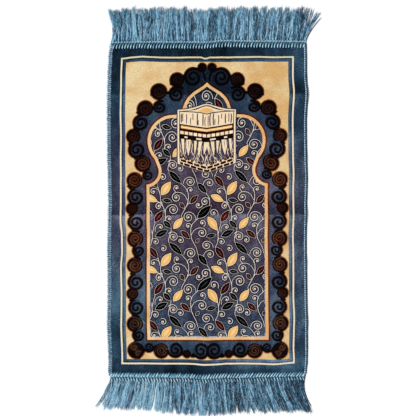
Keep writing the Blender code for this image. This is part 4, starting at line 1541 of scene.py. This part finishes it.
def make_stage():
    """A plain pale floor, just under the cloth."""
    bpy.ops.mesh.primitive_plane_add(size=FLOOR_SIZE, location=(0, 0, FLOOR_HEIGHT))
    floor = bpy.context.object
    floor.name = "floor"
    finish, tree, shader = new_finish("matt_white_paint")
    fill(tree, shader, {"Base Color": linear("#fafafa"), "Roughness": 1.0, "Specular IOR Level": 0.0})
    floor.data.materials.append(finish)


def make_light():
    """A pale studio all round, and one broad soft lamp from the left."""
    world = bpy.data.worlds.new("studio")
    bpy.context.scene.world = world
    world.use_nodes = True
    tree = world.node_tree
    fill(tree, tree.nodes["Background"], {"Color": (1, 1, 1, 1), "Strength": STUDIO_STRENGTH})
    lamp = bpy.data.lights.new("left_lamp", "SUN")
    lamp.energy = LAMP_STRENGTH
    lamp.angle = math.radians(LAMP_SPREAD)
    holder = shown("left_lamp", lamp)
    holder.rotation_euler = Vector(LAMP_WAY).to_track_quat("-Z", "Y").to_euler()


PHOTO_PIXELS = 416
MM_PER_PIXEL = 3.26
CAMERA_PLACE = (0.001, 0.0095, 2.6)
SENSOR = 36.0


def make_camera():
    """Straight above the rug, which fills the picture as in the photograph."""
    camera = bpy.data.cameras.new("camera")
    camera.sensor_width = SENSOR
    camera.lens = SENSOR * CAMERA_PLACE[2] / (PHOTO_PIXELS * MM_PER_PIXEL * MM)
    camera.clip_end = 20
    holder = shown("camera", camera)
    holder.location = CAMERA_PLACE
    bpy.context.scene.camera = holder
    bpy.context.scene.view_settings.view_transform = "Standard"


def main():
    make_camera()
    make_light()
    make_stage()
    back = flat_weave("cotton_ground_weave_back", "#5c6068", "#a8aab0", rough=0.85)
    cloth = make_cloth(yarn_finishes(), back)
    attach(cloth, "root")
    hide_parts("rug_cloth")
    yarn = spun_yarn("spun_fringe_yarn", "#0c223a", "#5696ba", "#b0def4")
    thread = spun_yarn("overlock_thread", "#18324a", "#5c98b8", "#bceafa")
    side_thread = spun_yarn("overlock_thread_side", "#16324a", "#5e8cac", "#b6d6e8")
    # Dark thread; on the right binding it is painted shade, on the side away from the lamp
    base = spun_yarn("overlock_thread_dark_and_painted_shade", "#0c1824", "#22384c", "#48647c")
    left_base = spun_yarn("overlock_thread_left_base", "#2c4254", "#58748a", "#8ca8ba")
    fringes = [
        make_fringe("fringe_far_yarns", FAR_END, yarn, 3),
        make_fringe("fringe_near_yarns", NEAR_END, yarn, 4),
    ]
    for fringe, node in zip(fringes, ("fringe_far", "fringe_near")):
        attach(fringe, "root")
        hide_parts(node)
    threads = [
        *make_end_stitches("far_stitches", 1, FAR_ROWS, FAR_ZIGZAGS, (thread, base), 5),
        *make_end_stitches("near_stitches", -1, NEAR_ROWS, (), (thread, base), 6),
        make_overlock("left_overlock", LEFT_OVERLOCK, side_thread, 7),
        make_overlock("right_overlock", RIGHT_OVERLOCK, side_thread, 8),
        make_chain("right_overlock_chain", 1, side_thread),
    ]
    for piece in threads:
        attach(piece, "root")
    # The right binding is painted dark as shade, on the side away from the lamp
    for node, finish in (("binding_left", left_base), ("binding_right", base)):
        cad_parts[node].data.materials.clear()
        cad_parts[node].data.materials.append(finish)


main()
